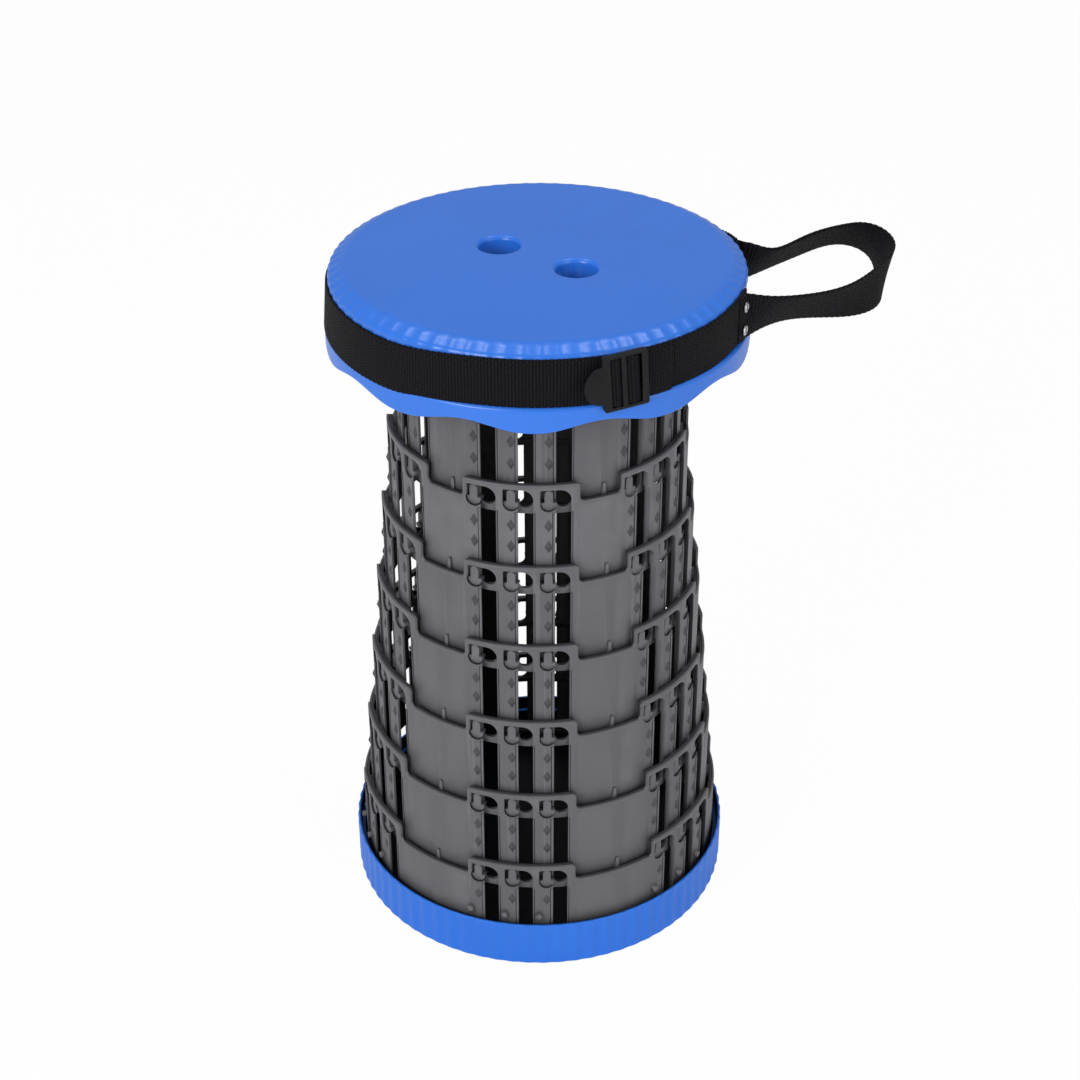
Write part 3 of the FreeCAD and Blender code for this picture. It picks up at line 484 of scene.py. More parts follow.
def woven_webbing(colour, rib):
    """Webbing: cross ribs, each with its yarns half a yarn to the side of the next one's."""
    n = Nodes("Black_webbing")

    def waves(turns):
        return n.maths("ABSOLUTE", n.maths("SINE", n.maths("MULTIPLY", turns, math.pi)))

    parts = n.add("SeparateXYZ", {"Vector": n.add("TexCoord").outputs["UV"]})
    along, across = parts.outputs["X"], parts.outputs["Y"]
    uneven = n.maths("SUBTRACT", n.noise(n.place(cloth=True), 240.0, 2.0), 0.5)
    turns = n.maths("DIVIDE", n.maths("ADD", along, n.maths("MULTIPLY", uneven, rib * 0.22)), rib)
    ribs = n.maths("POWER", waves(turns), 0.7)
    stagger = n.maths("MULTIPLY", n.maths("FLOOR", turns), 0.5)
    yarns = waves(n.maths("ADD", n.maths("DIVIDE", across, rib * 0.9), stagger))
    weave = n.maths("MULTIPLY", ribs, n.maths("ADD", n.maths("MULTIPLY", yarns, 0.62), 0.38))
    fuzz = n.noise(n.place(cloth=True, scale=(3000, 3000, 1)), 1.0)
    height = n.maths("ADD", weave, n.maths("MULTIPLY", fuzz, 0.08))
    faded = n.maths("MULTIPLY", n.spread(n.noise(n.place(), 26.0)), 0.12)
    # darker in the hollows of the weave and lighter on its ribs: painted shade and painted light
    weave_light_and_shade = n.blend(n.spread(weave, start=0.15, end=0.90), tint(colour, 0.05), tint(colour, 3.0))
    base = n.blend(faded, weave_light_and_shade, tint(colour, 1.6))
    return n.principled({
        "Base Color": base,
        "Roughness": n.spread(fuzz, 0.62, 0.85),
        "Normal": n.bump(height, rib * 0.30, 0.9),
        "Specular IOR Level": 0.09,
        "Sheen Weight": 0.02,
        "Sheen Roughness": 0.5,
    })


def plated_steel(colour, rough=0.36):
    """Plated steel with fine specks and a little tarnish."""
    n = Nodes("Plated_steel")
    where = n.place()
    spots = n.noise(where, 420.0, 4.0)
    base = n.blend(n.spread(spots), tint(colour, 0.72), tint(colour, 1.1))
    return n.principled({
        "Base Color": base,
        "Metallic": 1.0,
        "Roughness": n.spread(n.noise(where, 1500.0), rough - 0.06, rough + 0.12),
        "Normal": n.bump(spots, 0.00005, 0.3),
    })


def matt_rubber(colour):
    """Dull rubber with a pebbled skin."""
    n = Nodes("Black_rubber")
    where = n.place()
    pebble = n.add("TexVoronoi", {"Vector": where, "Scale": 1100.0}).outputs["Distance"]
    base = n.blend(n.spread(n.noise(where, 90.0)), tint(colour, 0.8), tint(colour, 1.5))
    return n.principled({
        "Base Color": base,
        "Roughness": n.spread(pebble, 0.75, 0.92, 0.0, 0.8),
        "Normal": n.bump(pebble, 0.0001, 0.5),
    })


def make_finish(name):
    """A new material for a finish's name."""
    scene = bpy.context.scene
    blue, grey = scene.stool_seat.colour, scene.stool_rings.colour
    web, fittings = scene.stool_webbing, scene.stool_fittings
    # name, colour, share of the colour (under one for painted shade), roughness, tone of edges lighter from
    # wear and painted highlight, shine and painted shade of a plastic
    plastics = {
        "seat_blue": ("Blue_moulding", blue, 1.0, 0.30, 1.25, 0.50, {}),
        # the base: inner wall and floor painted almost black, painted shade
        "base_blue": ("Blue_base_moulding", blue, 1.0, 0.36, 1.25, 0.30,
                      dict(inside=0.012, floor_radius=0.1215)),
        # the rings: painted shade on faces towards the axis and in corners
        "ring_grey": ("Grey_moulding", grey, 1.0, 0.40, 1.45, 0.40, dict(inside=0.10, painted_shade_reach=0.005)),
        # the pyramids at 0.55 of the colour, darker still in corners: painted shade
        "painted_shade_mark_grey": ("Grey_marks_painted_shade", grey, 0.55, 0.45, 1.2, 0.30, dict(painted_shade_reach=0.003)),
        # near-black strips at 0.12 of the colour: painted shadow lines beside the slots
        "painted_shadow_grey": ("Grey_painted_shadow_lines", grey, 0.12, 0.60, 1.0, 0.10, {}),
        # the buckle: painted shade between its bars and the webbing
        "buckle_black": ("Black_buckle", fittings.buckle, 1.0, 0.36, 1.6, 0.22, dict(painted_shade_reach=0.006)),
    }
    if name in plastics:
        title, colour, share, rough, edge_wear_and_highlight, shine, shade = plastics[name]
        return moulded_plastic(title, tuple(share * c for c in colour), rough, edge_wear_and_highlight, shine, **shade)
    if name == "web_black":
        return woven_webbing(web.colour, web.rib)
    return plated_steel(fittings.steel) if name == "steel" else matt_rubber(fittings.rubber)


FINISHES = {}


def finish(name):
    """The material of a finish's name, made the first time it is asked for."""
    if name not in FINISHES:
        FINISHES[name] = make_finish(name)
    return FINISHES[name]


# Putting pieces down

def new_object(name, data):
    """A new object in the scene."""
    made = bpy.data.objects.new(name, data)
    bpy.context.scene.collection.objects.link(made)
    return made


def add_piece(name, patches, body, slot, nodes=(), dress="", smooth=True):
    """A new piece in its finish, riding on its body in place of CAD nodes.

    dress names a finish other than the slot's own."""
    mesh = make_mesh(name, patches, smooth)
    turn_outwards(mesh)
    piece = new_object(name, mesh)
    mesh.materials.append(finish(dress or slot))
    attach(piece, body)
    if nodes:
        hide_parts(*nodes)
    return piece


def even_shading(piece):
    """Normals weighted by face area, so that flat faces stay flat beside small roundings."""
    modifier = piece.modifiers.new("Even shading", "WEIGHTED_NORMAL")
    modifier.keep_sharp = False
    modifier.weight = 60


def dress_node(name, slot, edge):
    """A CAD node in its finish, with its edges rounded."""
    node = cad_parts[name]
    node.data.materials.clear()
    node.data.materials.append(finish(slot))
    node.data.polygons.foreach_set("use_smooth", np.ones(len(node.data.polygons), bool))
    node.modifiers.new("Joined faces", "WELD").merge_threshold = MERGE
    bevel = node.modifiers.new("Rounded edges", "BEVEL")
    bevel.width, bevel.segments = edge, 2
    bevel.limit_method, bevel.angle_limit = "ANGLE", math.radians(38)
    bevel.use_clamp_overlap = bevel.harden_normals = True


# The stage

# name, place, what it lights, size and power in watts
LAMPS = (
    ("Key", (-1.35, -1.9, 1.35), (0, 0, 0.25), 1.0, 33.0),
    ("Fill", (1.7, -1.5, 1.0), (0, 0, 0.25), 1.4, 15.0),
    ("Top_left", (-0.55, 0.25, 2.1), (0, 0, 0.4), 0.45, 5.0),
    ("Top_right", (0.55, 0.25, 2.1), (0, 0, 0.4), 0.45, 5.0),
)


def place_camera(scene, settings):
    """The camera in front of the stool, looking down at it."""
    camera = new_object("Camera", bpy.data.cameras.new("Camera"))
    camera.data.sensor_width = 36.0
    camera.data.lens = settings.lens
    camera.data.shift_x = settings.shift
    camera.data.clip_end = 60.0
    camera.location = (0, -settings.away, settings.height)
    tilt, roll = Matrix.Rotation(math.pi / 2 - settings.pitch, 3, "X"), Matrix.Rotation(settings.roll, 3, "Z")
    camera.rotation_euler = (tilt @ roll).to_euler()
    scene.camera = camera


def pale_paper():
    """White paper that reflects a little and looks evenly white to the camera."""
    n = Nodes("Pale_floor")
    tone = n.blend(n.noise(n.place(), 30.0), tint(WHITE[:3], 0.90), tint(WHITE[:3], 0.93))
    paper = n.add("BsdfPrincipled", {"Base Color": tone, "Roughness": 0.9})
    glow = n.add("Emission", {"Color": WHITE, "Strength": 1.0})
    return n.by_camera(paper, glow, 0.965)


def place_backdrop():
    """A floor that bends up into a backdrop behind the stool."""
    front, back, high, bend, half_width = -6.0, 7.0, 7.0, 2.5, 9
    run = resample(rounded([(front, 0, 0), (back, 0, bend), (back, high, 0)], steps=24), 0.5)
    wide = np.linspace(-half_width, half_width, 24)
    name, patch = "Floor_and_backdrop", grid_patch(stacked(wide, run[:, :1], run[:, 1:]))
    floor = new_object(name, make_mesh(name, [patch]))
    floor.data.materials.append(pale_paper())


def studio_world():
    """A dim white sky that the camera sees as plain white."""
    n = Nodes("Studio", "World")
    dim, plain = (n.add("Background", {"Color": WHITE, "Strength": power}) for power in (0.42, 1.0))
    return n.by_camera(dim, plain)


class STOOL_OT_stage(bpy.types.Operator):
    """Pale floor and backdrop, soft studio light and the camera"""

    bl_idname = "stool.stage"
    bl_label = "Stage"

    def execute(self, context):
        scene = context.scene
        place_camera(scene, scene.stool_stage)
        place_backdrop()
        scene.world = studio_world()
        for name, place, aim, size, power in LAMPS:
            lamp = bpy.data.lights.new(name, "AREA")
            lamp.size, lamp.energy = size, power
            holder = new_object(name, lamp)
            holder.location = place
            holder.rotation_euler = (Vector(aim) - Vector(place)).to_track_quat("-Z", "Y").to_euler()
        scene.view_settings.view_transform = "Standard"
        return {"FINISHED"}


# Seat and base

SEAT_WALL = 0.002
SEAT_PLATE = 0.0035
SKIRT = 0.0024
HOLE_DISTANCE = 0.0288
HOLE_BEARINGS = (53, 233)
HOLE_POINTS = 96


def flute_depth_at(bearing, count, radius, depth, reach=0.0042):
    """Depth of the flutes at a bearing. Each is a shallow arc, and one lies on +X."""
    pitch = 2 * math.pi / count
    off = (bearing - math.pi / 2 + pitch / 2) % pitch - pitch / 2
    return depth * np.maximum(1 - (off * radius / reach) ** 2, 0)


def wave_at(bearing, rise, count, first=16.5, steep=1.06):
    """Height of the flange edge over its low points.

    A cosine falls from each high point, one of them at first degrees, and is
    so steep that the low points are flat."""
    pitch = 2 * math.pi / count
    off = (bearing - math.radians(first) + pitch / 2) % pitch - pitch / 2
    share = np.clip((np.abs(off) / (pitch / 2)) * steep, 0, 1)
    return rise * (0.5 + 0.5 * np.cos(math.pi * share))


def soft_edge(start, top, soft, outer, slope=math.radians(30), tight=0.004):
    """Profile of the seat's soft edge.

    A wide arc falls from the level to the slope, a straight line goes on at
    the slope, and a tight arc turns it upright at the outer radius."""
    wide = np.linspace(0, slope, 12)
    first = np.stack([start + soft * np.sin(wide), top - soft * (1 - np.cos(wide))], -1)
    centre = outer - tight
    meet = centre + tight * math.sin(slope)
    height = first[-1, 1] - (meet - first[-1, 0]) * math.tan(slope)
    turn = np.linspace(slope, math.pi / 2, 10)
    drop = tight * (math.cos(slope) - np.cos(turn))
    last = np.stack([centre + tight * np.sin(turn), height - drop], -1)
    line = np.linspace(first[-1], last[0], 6)[1:-1]
    return np.vstack([first, line, last])


def seat_shell(s, bearings, flat_under):
    """Soft edge, fluted wall, wavy flange and the inside up to the flat underside of the plate.

    The flutes are cut square to the profile, from the soft edge down to the
    shelf, and the wave lifts the flange, most of all its lower edge."""
    outer, inner, under = s.radius + s.lip, s.radius - SEAT_WALL, s.height - SEAT_PLATE
    hollow, ceiling = s.flange_radius - SKIRT, s.shelf - SKIRT
    shoulder = soft_edge(s.flat_radius, s.height, s.soft, outer)
    edge = shoulder[-1, 1]
    wall = rounded([
        (*shoulder[-1], 0), (outer, edge - 0.0026, 0.0005), (s.radius, edge - 0.0036, 0.0005),
        (s.radius, s.shelf, 0.0004), (s.flange_radius, s.shelf, 0.0024),
        (s.flange_radius, s.wave_low, 0.0008), (hollow, s.wave_low, 0.0006), (hollow, ceiling, 0.001),
        (inner, ceiling, 0.0005), (inner, under, 0.001), (flat_under, under, 0),
    ], steps=7)
    profile = np.vstack([shoulder[:-1], resample(wall, 0.006)])
    ahead = unit(np.gradient(profile, axis=0))
    fade_start, fade, shelf_fade = 0.0015, 0.0055, 0.0006
    share = np.clip((profile[:, 0] - s.flat_radius - fade_start) / fade, 0, 1)
    share = share * share * (3 - 2 * share) * np.clip((profile[:, 1] - s.shelf) / shelf_fade, 0, 1)
    on_flange = np.argmax(profile[:, 0] > outer + 1e-5)
    share[np.arange(len(profile)) > on_flange] = 0
    cut = flute_depth_at(bearings[None], s.flutes, s.radius, s.flute_depth) * share[:, None]
    r = profile[:, :1] + ahead[:, 1:] * cut
    z = profile[:, 1:] - ahead[:, :1] * cut
    high, low = ceiling - 0.001, s.wave_low + 0.001
    z = z + wave_at(bearings[None], s.wave_rise, s.wave_count) * np.clip((high - z) / (high - low), 0, 1)
    return grid_patch(bearing_point(r, bearings[None], z), around=True, flip=True)


def plate_with_holes(s, bearings, flat_under):
    """Top and underside of the seat's plate, and the pipes of its finger holes."""
    top, under, bottom = s.height, s.height - SEAT_PLATE, s.height - 0.014
    hole, mouth, pipe, soft = s.hole_radius, s.hole_radius + s.hole_mouth, s.hole_radius + 0.002, 0.0006
    holes = [bearing_point(HOLE_DISTANCE, math.radians(t), 0)[:2] for t in HOLE_BEARINGS]
    patches = []
    for reach, cut, height, flip in ((s.flat_radius, mouth, top, False), (flat_under, pipe, under, True)):
        rim = bearing_point(reach, bearings, 0)[:, :2]
        patches.append(flat_patch([rim] + [circle_line(cut, HOLE_POINTS, *at) for at in holes], height, flip))
    tube = rounded([
        (mouth, top, 0), (hole, top, s.hole_mouth), (hole, bottom, soft),
        (pipe, bottom, soft), (pipe, under, 0),
    ], steps=8)
    r, z, turn = tube[:, :1], tube[:, 1:], full_turn(HOLE_POINTS)
    shapes = [stacked(x + r * np.cos(turn), y + r * np.sin(turn), z) for x, y in holes]
    return patches + [grid_patch(shape, around=True) for shape in shapes]


def under_plate(outline, centre, half, depth, chamfer, count, start, top):
    """Like uprights in a circle under the plate. half is half the thickness of their outline."""
    overlap = 0.0005
    size = np.array([1, 1, 1 - chamfer / half])[:, None, None]
    height = top - np.array([-overlap, depth - chamfer, depth])
    shape = centre + (outline - centre) * size
    shape = np.concatenate([shape, np.broadcast_to(height[:, None, None], shape.shape[:2] + (1,))], -1)
    side = grid_patch(shape, around=True)
    cap = fan_patch(shape[-1], shape[-1].mean(0), flip=True)
    turns = [Matrix.Rotation(math.radians(start + 360 / count * k), 4, "Z") for k in range(count)]
    return [moved(patch, turn) for turn in turns for patch in (side, cap)]


class STOOL_OT_seat(bpy.types.Operator):
    """Seat top: plate with two finger holes, fluted wall and wavy flange"""

    bl_idname = "stool.seat"
    bl_label = "Seat top"

    def execute(self, context):
        s = context.scene.stool_seat
        flat_under, under = s.radius - SEAT_WALL - 0.004, s.height - SEAT_PLATE
        bearings = full_turn(s.flutes * 12)
        near, far, half, corner = 0.050, 0.079, 0.0009, 0.0005
        ends = (near, -half), (far, -half), (far, half), (near, half)
        rib = rounded([(x, y, corner) for x, y in ends], steps=3, closed=True)
        boss_radius, boss_distance = 0.004, 0.073
        boss = circle_line(boss_radius, 24, boss_distance)
        patches = [seat_shell(s, bearings, flat_under)] + plate_with_holes(s, bearings, flat_under)
        patches += under_plate(rib, rib.mean(0), half, 0.006, 0.0003, 12, 0.0, under)
        patches += under_plate(boss, (boss_distance, 0), boss_radius, 0.008, 0.0004, 6, -75.0, under)
        even_shading(add_piece("Seat_top", patches, "seat", "seat_blue", ["seat_top"]))
        return {"FINISHED"}


class STOOL_OT_base(bpy.types.Operator):
    """Base cup with its fluted outside and the bead that holds the outermost ring"""

    bl_idname = "stool.base"
    bl_label = "Base cup"

    def execute(self, context):
        s, flutes = context.scene.stool_base, context.scene.stool_seat.flutes
        radius, rim, inner = s.radius, s.height, s.radius - 0.0025
        low, floor = 0.0006, 0.003
        bead, bead_low, bead_high = inner - 0.0028, 0.0212, 0.0232
        profile = resample(rounded([
            (0, low, 0), (radius, low, 0.0012), (radius, rim, 0.0011), (inner, rim, 0.0008),
            (inner, bead_high, 0.0003), (bead, bead_high, 0.0006), (bead, bead_low, 0.0006),
            (inner, bead_low, 0.0003), (inner, floor, 0.0015), (0, floor, 0),
        ]), 0.012)
        bearings = full_turn(flutes * 10)
        r, z = profile[:, :1], profile[:, 1:]
        fluted = radius - flute_depth_at(bearings[None], flutes, radius, s.flute_depth)
        r = np.where(r > inner + 0.0012, soft_less(r, fluted, 0.0005), r)
        cup = grid_patch(bearing_point(r, bearings[None], z), around=True)
        even_shading(add_piece("Base_cup", [cup], "base", "seat_blue", ["base_cup"], dress="base_blue"))
        return {"FINISHED"}


# Rings

RING_COUNT = 8
OUTER_RADIUS = 0.1214
RADIUS_STEP = 0.00542
LOWEST_FOOT = 0.003
FOOT_STEP = 0.0535
RIM_HEIGHT = 0.063
TAB_HEIGHT = 0.0753
TAB_LEFT, TAB_RIGHT = -0.0403, 0.0294
SLOT_LEFTS = np.array([-0.0295, -0.0072, 0.0151])
SLOT_WIDTH = 0.0092
BAR_MIDDLES = np.array([-0.0336, -0.0113, 0.0110])
LOW_MARK, HIGH_MARK = 0.0335, 0.0480
GROUP_AXES = np.radians(-3.0 + 60.0 * np.arange(6))

# the strips beside a slot: distance from its left edge, width to the right and height over the wall
EDGINGS = ((-0.00012, -0.0013, 0.00042), (SLOT_WIDTH + 0.00012, 0.0007, 0.00030))
# near-black strips just proud of the wall, outside the edgings: painted shadow lines
PAINTED_SHADOW_LINES = ((-0.00142, -0.00045, 0.00005), (SLOT_WIDTH + 0.00082, 0.00038, 0.00005))


def ring_radius(number):
    return OUTER_RADIUS - RADIUS_STEP * (RING_COUNT - number)


def ring_foot(number):
    return LOWEST_FOOT + FOOT_STEP * (RING_COUNT - number)


def ring_body(number):
    return "base" if number == RING_COUNT else "seat" if number == 1 else f"ring_{number}"


def rim_line(radius):
    """The upper outline of one sixth of a ring, as (distance along the wall, height)."""
    edge = radius * math.pi / 6
    left, right = (radius * math.asin(x / radius) for x in (TAB_LEFT, TAB_RIGHT))
    return rounded([
        (-edge, RIM_HEIGHT, 0), (left, RIM_HEIGHT, 0.0028), (left, TAB_HEIGHT, 0.0022),
        (right, TAB_HEIGHT, 0.0028), (right, RIM_HEIGHT, 0.0036), (edge, RIM_HEIGHT, 0),
    ], steps=8)


def rim_bead(number, size):
    """A round bar carried along the upper outline of a ring, just under its edge."""
    radius, over_edge, proud = ring_radius(number), 0.0002, 0.00018
    line = resample(rim_line(radius), 0.003)
    away = unit(np.gradient(line, axis=0))
    away = np.stack([-away[:, 1], away[:, 0]], -1)
    line = line - away * (size - over_edge)
    turns = (line[None, :-1, 0] / radius + GROUP_AXES[:, None]).ravel()
    heights = np.tile(line[:-1, 1], 6) + ring_foot(number)
    away = np.tile(away[:-1], (6, 1))
    out, side = out_and_side(turns)
    across = side * away[:, :1] + UP * away[:, 1:]
    path = bearing_point(radius - size + proud, turns, heights)
    return swept(path, across, out, circle_line(size, 12), closed=True)


def pyramids(number, proud):
    """Small four-sided pyramids in upright rows on the bars of a ring."""
    radius, wide, tall = ring_radius(number), 0.0026, 0.0043
    heights = np.array({1: [LOW_MARK], RING_COUNT: [HIGH_MARK]}.get(number, [LOW_MARK, HIGH_MARK]))
    corner = np.array([(-1, 0), (0, -1), (1, 0), (0, 1)], float) * (wide, tall)
    turns = GROUP_AXES[:, None, None] + np.arcsin(BAR_MIDDLES / radius)[None, :, None] + 0 * heights
    level = np.broadcast_to(heights + ring_foot(number), turns.shape).reshape(-1, 1)
    turns = turns.reshape(-1, 1)
    rows = np.stack([
        bearing_point(radius + lift, turns + corner[:, 0] * size / radius, level + corner[:, 1] * size)
        for lift, size in ((-0.0003, 1), (0.00005, 1), (proud * 0.92, 0.08), (proud, 0))
    ], 1)
    caps = [fan_patch(shape[0], shape[0].mean(0), flip=True) for shape in rows]
    return [grid_patch(shape, around=True) for shape in rows] + caps


def slot_strips(number, strips):
    """Upright strips beside every slot of a ring, with a bevel along both sides and at both ends."""
    radius, foot = ring_radius(number), ring_foot(number)
    low, high = foot + 0.0050, foot + (0.0572 if number > 1 else 0.0555)
    level = np.array([low, low, high, high])[None, :, None]
    lift = np.array([0, 1, 1, 0])[None, :, None]
    sunk, end_sunk = -0.0006, 0.0004
    patches = []
    for start, wide, proud in strips:
        across = np.array([0, 0, 0.12, 0.88, 1, 1]) * wide
        rise = np.array([sunk, 0.62 * proud, proud, proud, 0.62 * proud, sunk])
        turn = (GROUP_AXES[:, None] + np.arcsin((SLOT_LEFTS + start) / radius)[None]).ravel()
        turn = turn[:, None, None] + (across / radius)[None, None]
        grid = bearing_point(radius + rise[None, None] * lift - end_sunk * (1 - lift), turn, level)
        patches += [grid_patch(g) for g in grid]
        patches += [grid_patch(np.stack([g[:, 0], g[:, -1]], 1), flip=True) for g in grid]
    return patches


class STOOL_OT_rings(bpy.types.Operator):
    """The eight rings, with small pyramids, edged slots and, on all but the innermost, a beaded rim"""

    bl_idname = "stool.rings"
    bl_label = "Rings"

    def execute(self, context):
        s = context.scene.stool_rings
        for number in range(1, RING_COUNT + 1):
            dress_node(f"ring_{number}", "ring_grey", s.edge)
            proud = s.mark if number < RING_COUNT else 0.75 * s.mark
            trims = [
                # the pyramids in a darker finish: painted shade
                ("marks", pyramids(number, proud), "painted_shade_mark_grey", False),
                ("edgings", slot_strips(number, EDGINGS), "", False),
                # near-black strips beside every slot: painted shadow lines
                ("painted_shadow_lines", slot_strips(number, PAINTED_SHADOW_LINES), "painted_shadow_grey", False),
            ]
            if number > 1:
                trims.append(("rim", rim_bead(number, s.bead), "", True))
            for trim, patches, dress, smooth in trims:
                name = f"Ring_{number}_{trim}"
                add_piece(name, patches, ring_body(number), "ring_grey", dress=dress, smooth=smooth)
        return {"FINISHED"}


# Webbing

STRAP_RADIUS = 0.1266
STRAP_LEVEL = 0.4308
STATION = 0.00045
RIVET_BEARINGS = {"front_rivets": 68.6, "back_rivets": 108.4}


def web_profile(width, thickness):
    """Cross section of the webbing: a flat band with round edges."""
    x, y, soft = width / 2, thickness / 2, thickness * 0.42
    line = rounded([(-x, -y, soft), (x, -y, soft), (x, y, soft), (-x, y, soft)], steps=5, closed=True)
    return resample(np.vstack([line, line[:1]]), 0.0030)[:-1]


def band(path, across, out, settings, width=0.0):
    """Webbing along a path, with selvedges that step in and out at every rib."""
    width, notch, selvedge = width or settings.width, 0.00016, 0.0009
    profile = web_profile(width, settings.thickness)
    x = profile[None, :, 0]
    step = notch * np.sin(run_along(path) / settings.rib * math.pi)[:, None]
    return swept(path, across, out, profile, step * (np.abs(x) > width / 2 - selvedge) * np.sign(x))


def seat_band(bearings, radii, heights, settings, lean=0.0):
    """Webbing round the seat, through radii at bearings in radians. lean turns its lower edge outwards."""
    path = bearing_point(radii, bearings, heights)
    along = unit(np.gradient(path, axis=0))
    lean = np.broadcast_to(lean, len(path))[:, None]
    across = UP * np.cos(lean) - bearing_point(1.0, bearings, 0.0) * np.sin(lean)
    return band(path, across, unit(np.cross(along, across)), settings)


def eased(value, start, end):
    """From 0 at start to 1 at end, with a soft beginning and end."""
    share = np.clip((value - start) / (end - start), 0, 1)
    return share * share * (3 - 2 * share)


def spaced_bearings(start, end):
    """Bearings in radians, a station apart, between two in degrees."""
    count = int(math.radians(end - start) * STRAP_RADIUS / STATION)
    return np.radians(np.linspace(start, end, count))


def hump(bearing, start, end):
    """A soft rise of 1.8 mm over the buckle's end bar, between two bearings in degrees."""
    share = np.clip((bearing - start) / (end - start), 0, 1)
    return 0.0018 * np.sin(math.pi * share) ** 2


class STOOL_OT_straps(bpy.types.Operator):
    """The long strap round the seat and the short strap, sewn double beside the buckle"""

    bl_idname = "stool.straps"
    bl_label = "Straps"

    def long_strap(self, settings):
        """From the back rivets to the buckle, close to the wall at the back and slack at the left."""
        sag, back_sag, slack_sag, slack_out, close = 0.0012, 0.0010, 0.0037, 0.0005, 0.0014
        turns = spaced_bearings(104.0, 381.0)
        bearing = np.degrees(turns)
        slack = eased(bearing, 200, 262) * eased(bearing, 347, 316)
        radii = STRAP_RADIUS + hump(bearing, 376.4, 380.8) + slack_out * slack
        radii -= close * eased(bearing, 112, 122) * eased(bearing, 272, 256)
        heights = STRAP_LEVEL - (sag + back_sag * eased(bearing, 262, 200)) * eased(bearing, 107, 118)
        heights -= slack_sag * slack
        return seat_band(turns, radii, heights, settings, math.radians(4.5) * slack)

    def short_strap(self, settings):
        """From the buckle to the front rivets, with its folded end sewn on over it."""
        sag, layer, tucked = 0.0012, 0.00185, 0.0003
        turns = spaced_bearings(21.6, 73.0)
        bearing = np.degrees(turns)
        radii = STRAP_RADIUS + hump(bearing, 21.7, 25.6)
        patches = seat_band(turns, radii, STRAP_LEVEL - sag * eased(bearing, 66, 50), settings)
        turns = spaced_bearings(27.6, 35.5)
        radii = STRAP_RADIUS + layer - np.clip((np.degrees(turns) - 35.1) / 0.4, 0, 1) * tucked
        return patches + seat_band(turns, radii, STRAP_LEVEL - sag, settings)

    def execute(self, context):
        s = context.scene.stool_webbing
        add_piece("Long_strap", self.long_strap(s), "seat", "web_black", ["strap_long"])
        add_piece("Short_strap", self.short_strap(s), "seat", "web_black", ["strap_short"])
        return {"FINISHED"}


# x, y, z in millimetres and the lean in degrees, from the front rivets round to the back ones
LOOP_POINTS = np.array([
    (123, -43, 431, 8), (133, -40, 431, 29), (152, -31, 431, 42), (182, -19, 428, 31),
    (209, 2, 428, -11), (217, 34, 432, 31), (207, 59, 436, -28), (191, 64, 438, -49),
    (165, 53, 434, -36), (142, 41, 427, -47), (127, 36, 430, -14),
]) * (MM, MM, MM, 1)


def loop_end(start, step, height):
    """Control points with no lean along a riveted end of the loop, from a bearing in degrees."""
    radii = np.array([0.1271, 0.1280, 0.12865, 0.12865])
    return np.insert(bearing_point(radii, np.radians(start + step * np.arange(4)), height), 3, 0, axis=1)


def smooth_curve(points, count):
    """Points on a uniform cubic B-spline that begins and ends at the first and last control point."""
    ctrl = np.vstack([2 * points[:1] - points[1:2], points, 2 * points[-1:] - points[-2:-1]])
    t = np.linspace(0, len(points) - 1 - 1e-9, count)
    k = t.astype(int)
    f = (t - k)[:, None]
    a, b, c, d = (ctrl[k + step] for step in range(4))
    second, third = 3 * f ** 3 - 6 * f ** 2 + 4, -3 * f ** 3 + 3 * f ** 2 + 3 * f + 1
    return ((1 - f) ** 3 * a + second * b + third * c + f ** 3 * d) / 6


class STOOL_OT_carry_loop(bpy.types.Operator):
    """The carry loop, which leans as it hangs out from the rivets"""

    bl_idname = "stool.carry_loop"
    bl_label = "Carry loop"

    def execute(self, context):
        ends = loop_end(66.2, 1.2, 0.4310), loop_end(110.8, -1.2, 0.4292)[::-1]
        line = smooth_curve(np.vstack([ends[0], LOOP_POINTS, ends[1]]), 1400)
        run = run_along(line[:, :3])
        even = np.linspace(0, run[-1], int(run[-1] / STATION))
        line = np.stack([np.interp(even, run, line[:, k]) for k in range(4)], -1)
        path, lean = line[:, :3], np.radians(line[:, 3:])
        along = unit(np.gradient(path, axis=0))
        side = unit(np.cross(along, UP))
        across = np.cross(side, along) * np.cos(lean) + side * np.sin(lean)
        patches = band(path, across, np.cross(along, across), context.scene.stool_webbing)
        add_piece("Carry_loop", patches, "seat", "web_black", ["carry_loop"])
        return {"FINISHED"}


# Fittings

class STOOL_OT_buckle(bpy.types.Operator):
    """Ladder lock buckle, and the webbing that bulges between its bars"""

    bl_idname = "stool.buckle"
    bl_label = "Buckle"

    def execute(self, context):
        dress_node("ladder_lock", "buckle_black", 0.0007)
        turn, tilt = math.radians(21.6), math.radians(4.0)
        reach, height, bulge, width = 0.1289, 0.4293, 0.0028, 0.0296
        out, side = out_and_side(turn)
        share = np.linspace(0, 1, 15)[:, None]
        patches = []
        for start, end in ((-0.0086, -0.0026), (0.0008, 0.0086)):
            x = start + (end - start) * share
            rise = reach + bulge * np.sin(math.pi * share) ** 0.5
            path = out * rise + side * x * math.cos(tilt) + UP * (height + x * math.sin(tilt))
            along = unit(np.gradient(path, axis=0))
            across = np.broadcast_to(UP * math.cos(tilt) - side * math.sin(tilt), path.shape)
            patches += band(path, across, np.cross(along, across), context.scene.stool_webbing, width)
        add_piece("Webbing_in_buckle", patches, "seat", "web_black")
        return {"FINISHED"}


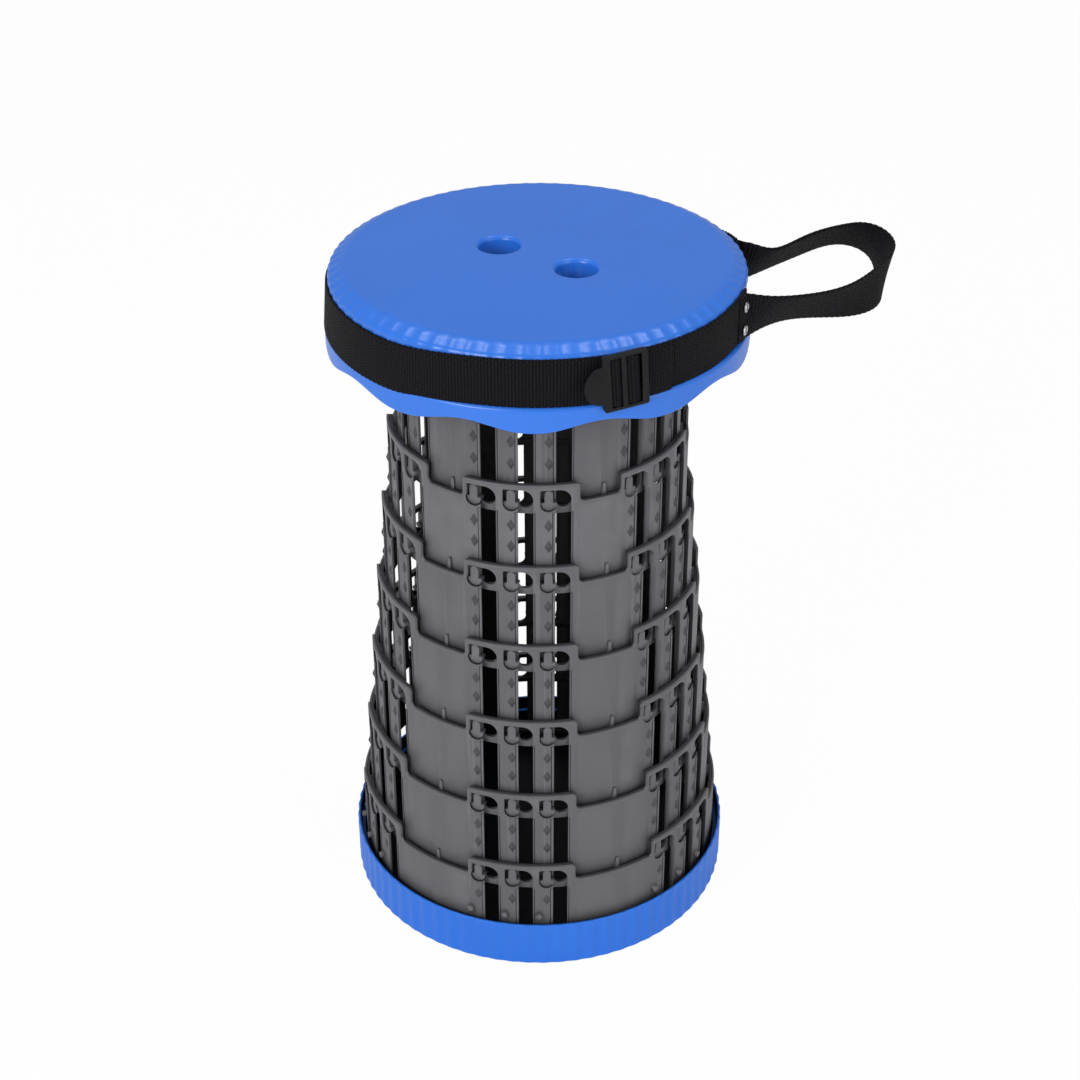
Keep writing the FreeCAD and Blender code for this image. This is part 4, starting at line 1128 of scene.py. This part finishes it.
class STOOL_OT_rivets(bpy.types.Operator):
    """Tubular rivets with rolled heads through the loop ends"""

    bl_idname = "stool.rivets"
    bl_label = "Rivets"

    def execute(self, context):
        hollow, tail, rim, shank = -0.0025, -0.00795, 0.0034, 0.0014
        reach, level, apart = 0.12985, 0.431, 0.0073
        head = rounded([
            (0, hollow, 0), (0.0013, hollow, 0.0002), (0.0016, 0.0009, 0.0005), (0.0025, 0.0013, 0.0009),
            (rim, 0.0004, 0.0003), (rim, 0, 0.0002), (shank, 0, 0.0001), (shank, tail, 0.0004), (0, tail, 0),
        ])
        turn = full_turn(40)[:, None]
        for name, bearing in RIVET_BEARINGS.items():
            out, side = out_and_side(math.radians(bearing))
            spokes = side * np.cos(turn) + UP * np.sin(turn)
            patches = []
            for height in (level - apart, level + apart):
                middle = out * reach + UP * height
                ring = middle + head[:, None, :1] * spokes + out * head[:, None, 1:]
                patches.append(grid_patch(ring, around=True))
            even_shading(add_piece(name.capitalize(), patches, "seat", "steel", [name]))
        return {"FINISHED"}


class STOOL_OT_small_parts(bpy.types.Operator):
    """Foot pads, seat screws and rivet washers"""

    bl_idname = "stool.small_parts"
    bl_label = "Pads, screws and washers"

    def execute(self, context):
        dress_node("foot_pads", "rubber", 0.0003)
        dress_node("seat_screws", "steel", 0.0002)
        for name in ("front_washers", "back_washers"):
            dress_node(name, "steel", 0.0001)
        return {"FINISHED"}


# The add-on

OPERATORS = (
    STOOL_OT_stage, STOOL_OT_seat, STOOL_OT_base, STOOL_OT_rings, STOOL_OT_straps,
    STOOL_OT_carry_loop, STOOL_OT_buckle, STOOL_OT_rivets, STOOL_OT_small_parts,
)


class STOOL_PT_sidebar(bpy.types.Panel):
    """The stool's operators and settings"""

    bl_idname = "STOOL_PT_sidebar"
    bl_label = "Telescopic stool"
    bl_space_type = "VIEW_3D"
    bl_region_type = "UI"
    bl_category = "Stool"

    def draw(self, context):
        for operator in OPERATORS:
            self.layout.operator(operator.bl_idname)
        for key, group in GROUPS.items():
            box = self.layout.box()
            for setting in group.__annotations__:
                box.prop(getattr(context.scene, key), setting)


CLASSES = tuple(GROUPS.values()) + OPERATORS + (STOOL_PT_sidebar,)


def register():
    for item in CLASSES:
        bpy.utils.register_class(item)
    for key, group in GROUPS.items():
        setattr(bpy.types.Scene, key, PointerProperty(type=group))


def unregister():
    for key in GROUPS:
        delattr(bpy.types.Scene, key)
    for item in reversed(CLASSES):
        bpy.utils.unregister_class(item)


def main():
    register()
    for operator in OPERATORS:
        group, name = operator.bl_idname.split(".")
        if getattr(getattr(bpy.ops, group), name)() != {"FINISHED"}:
            raise RuntimeError(f"{operator.bl_label} was not built")


if __name__ == "__main__":
    main()
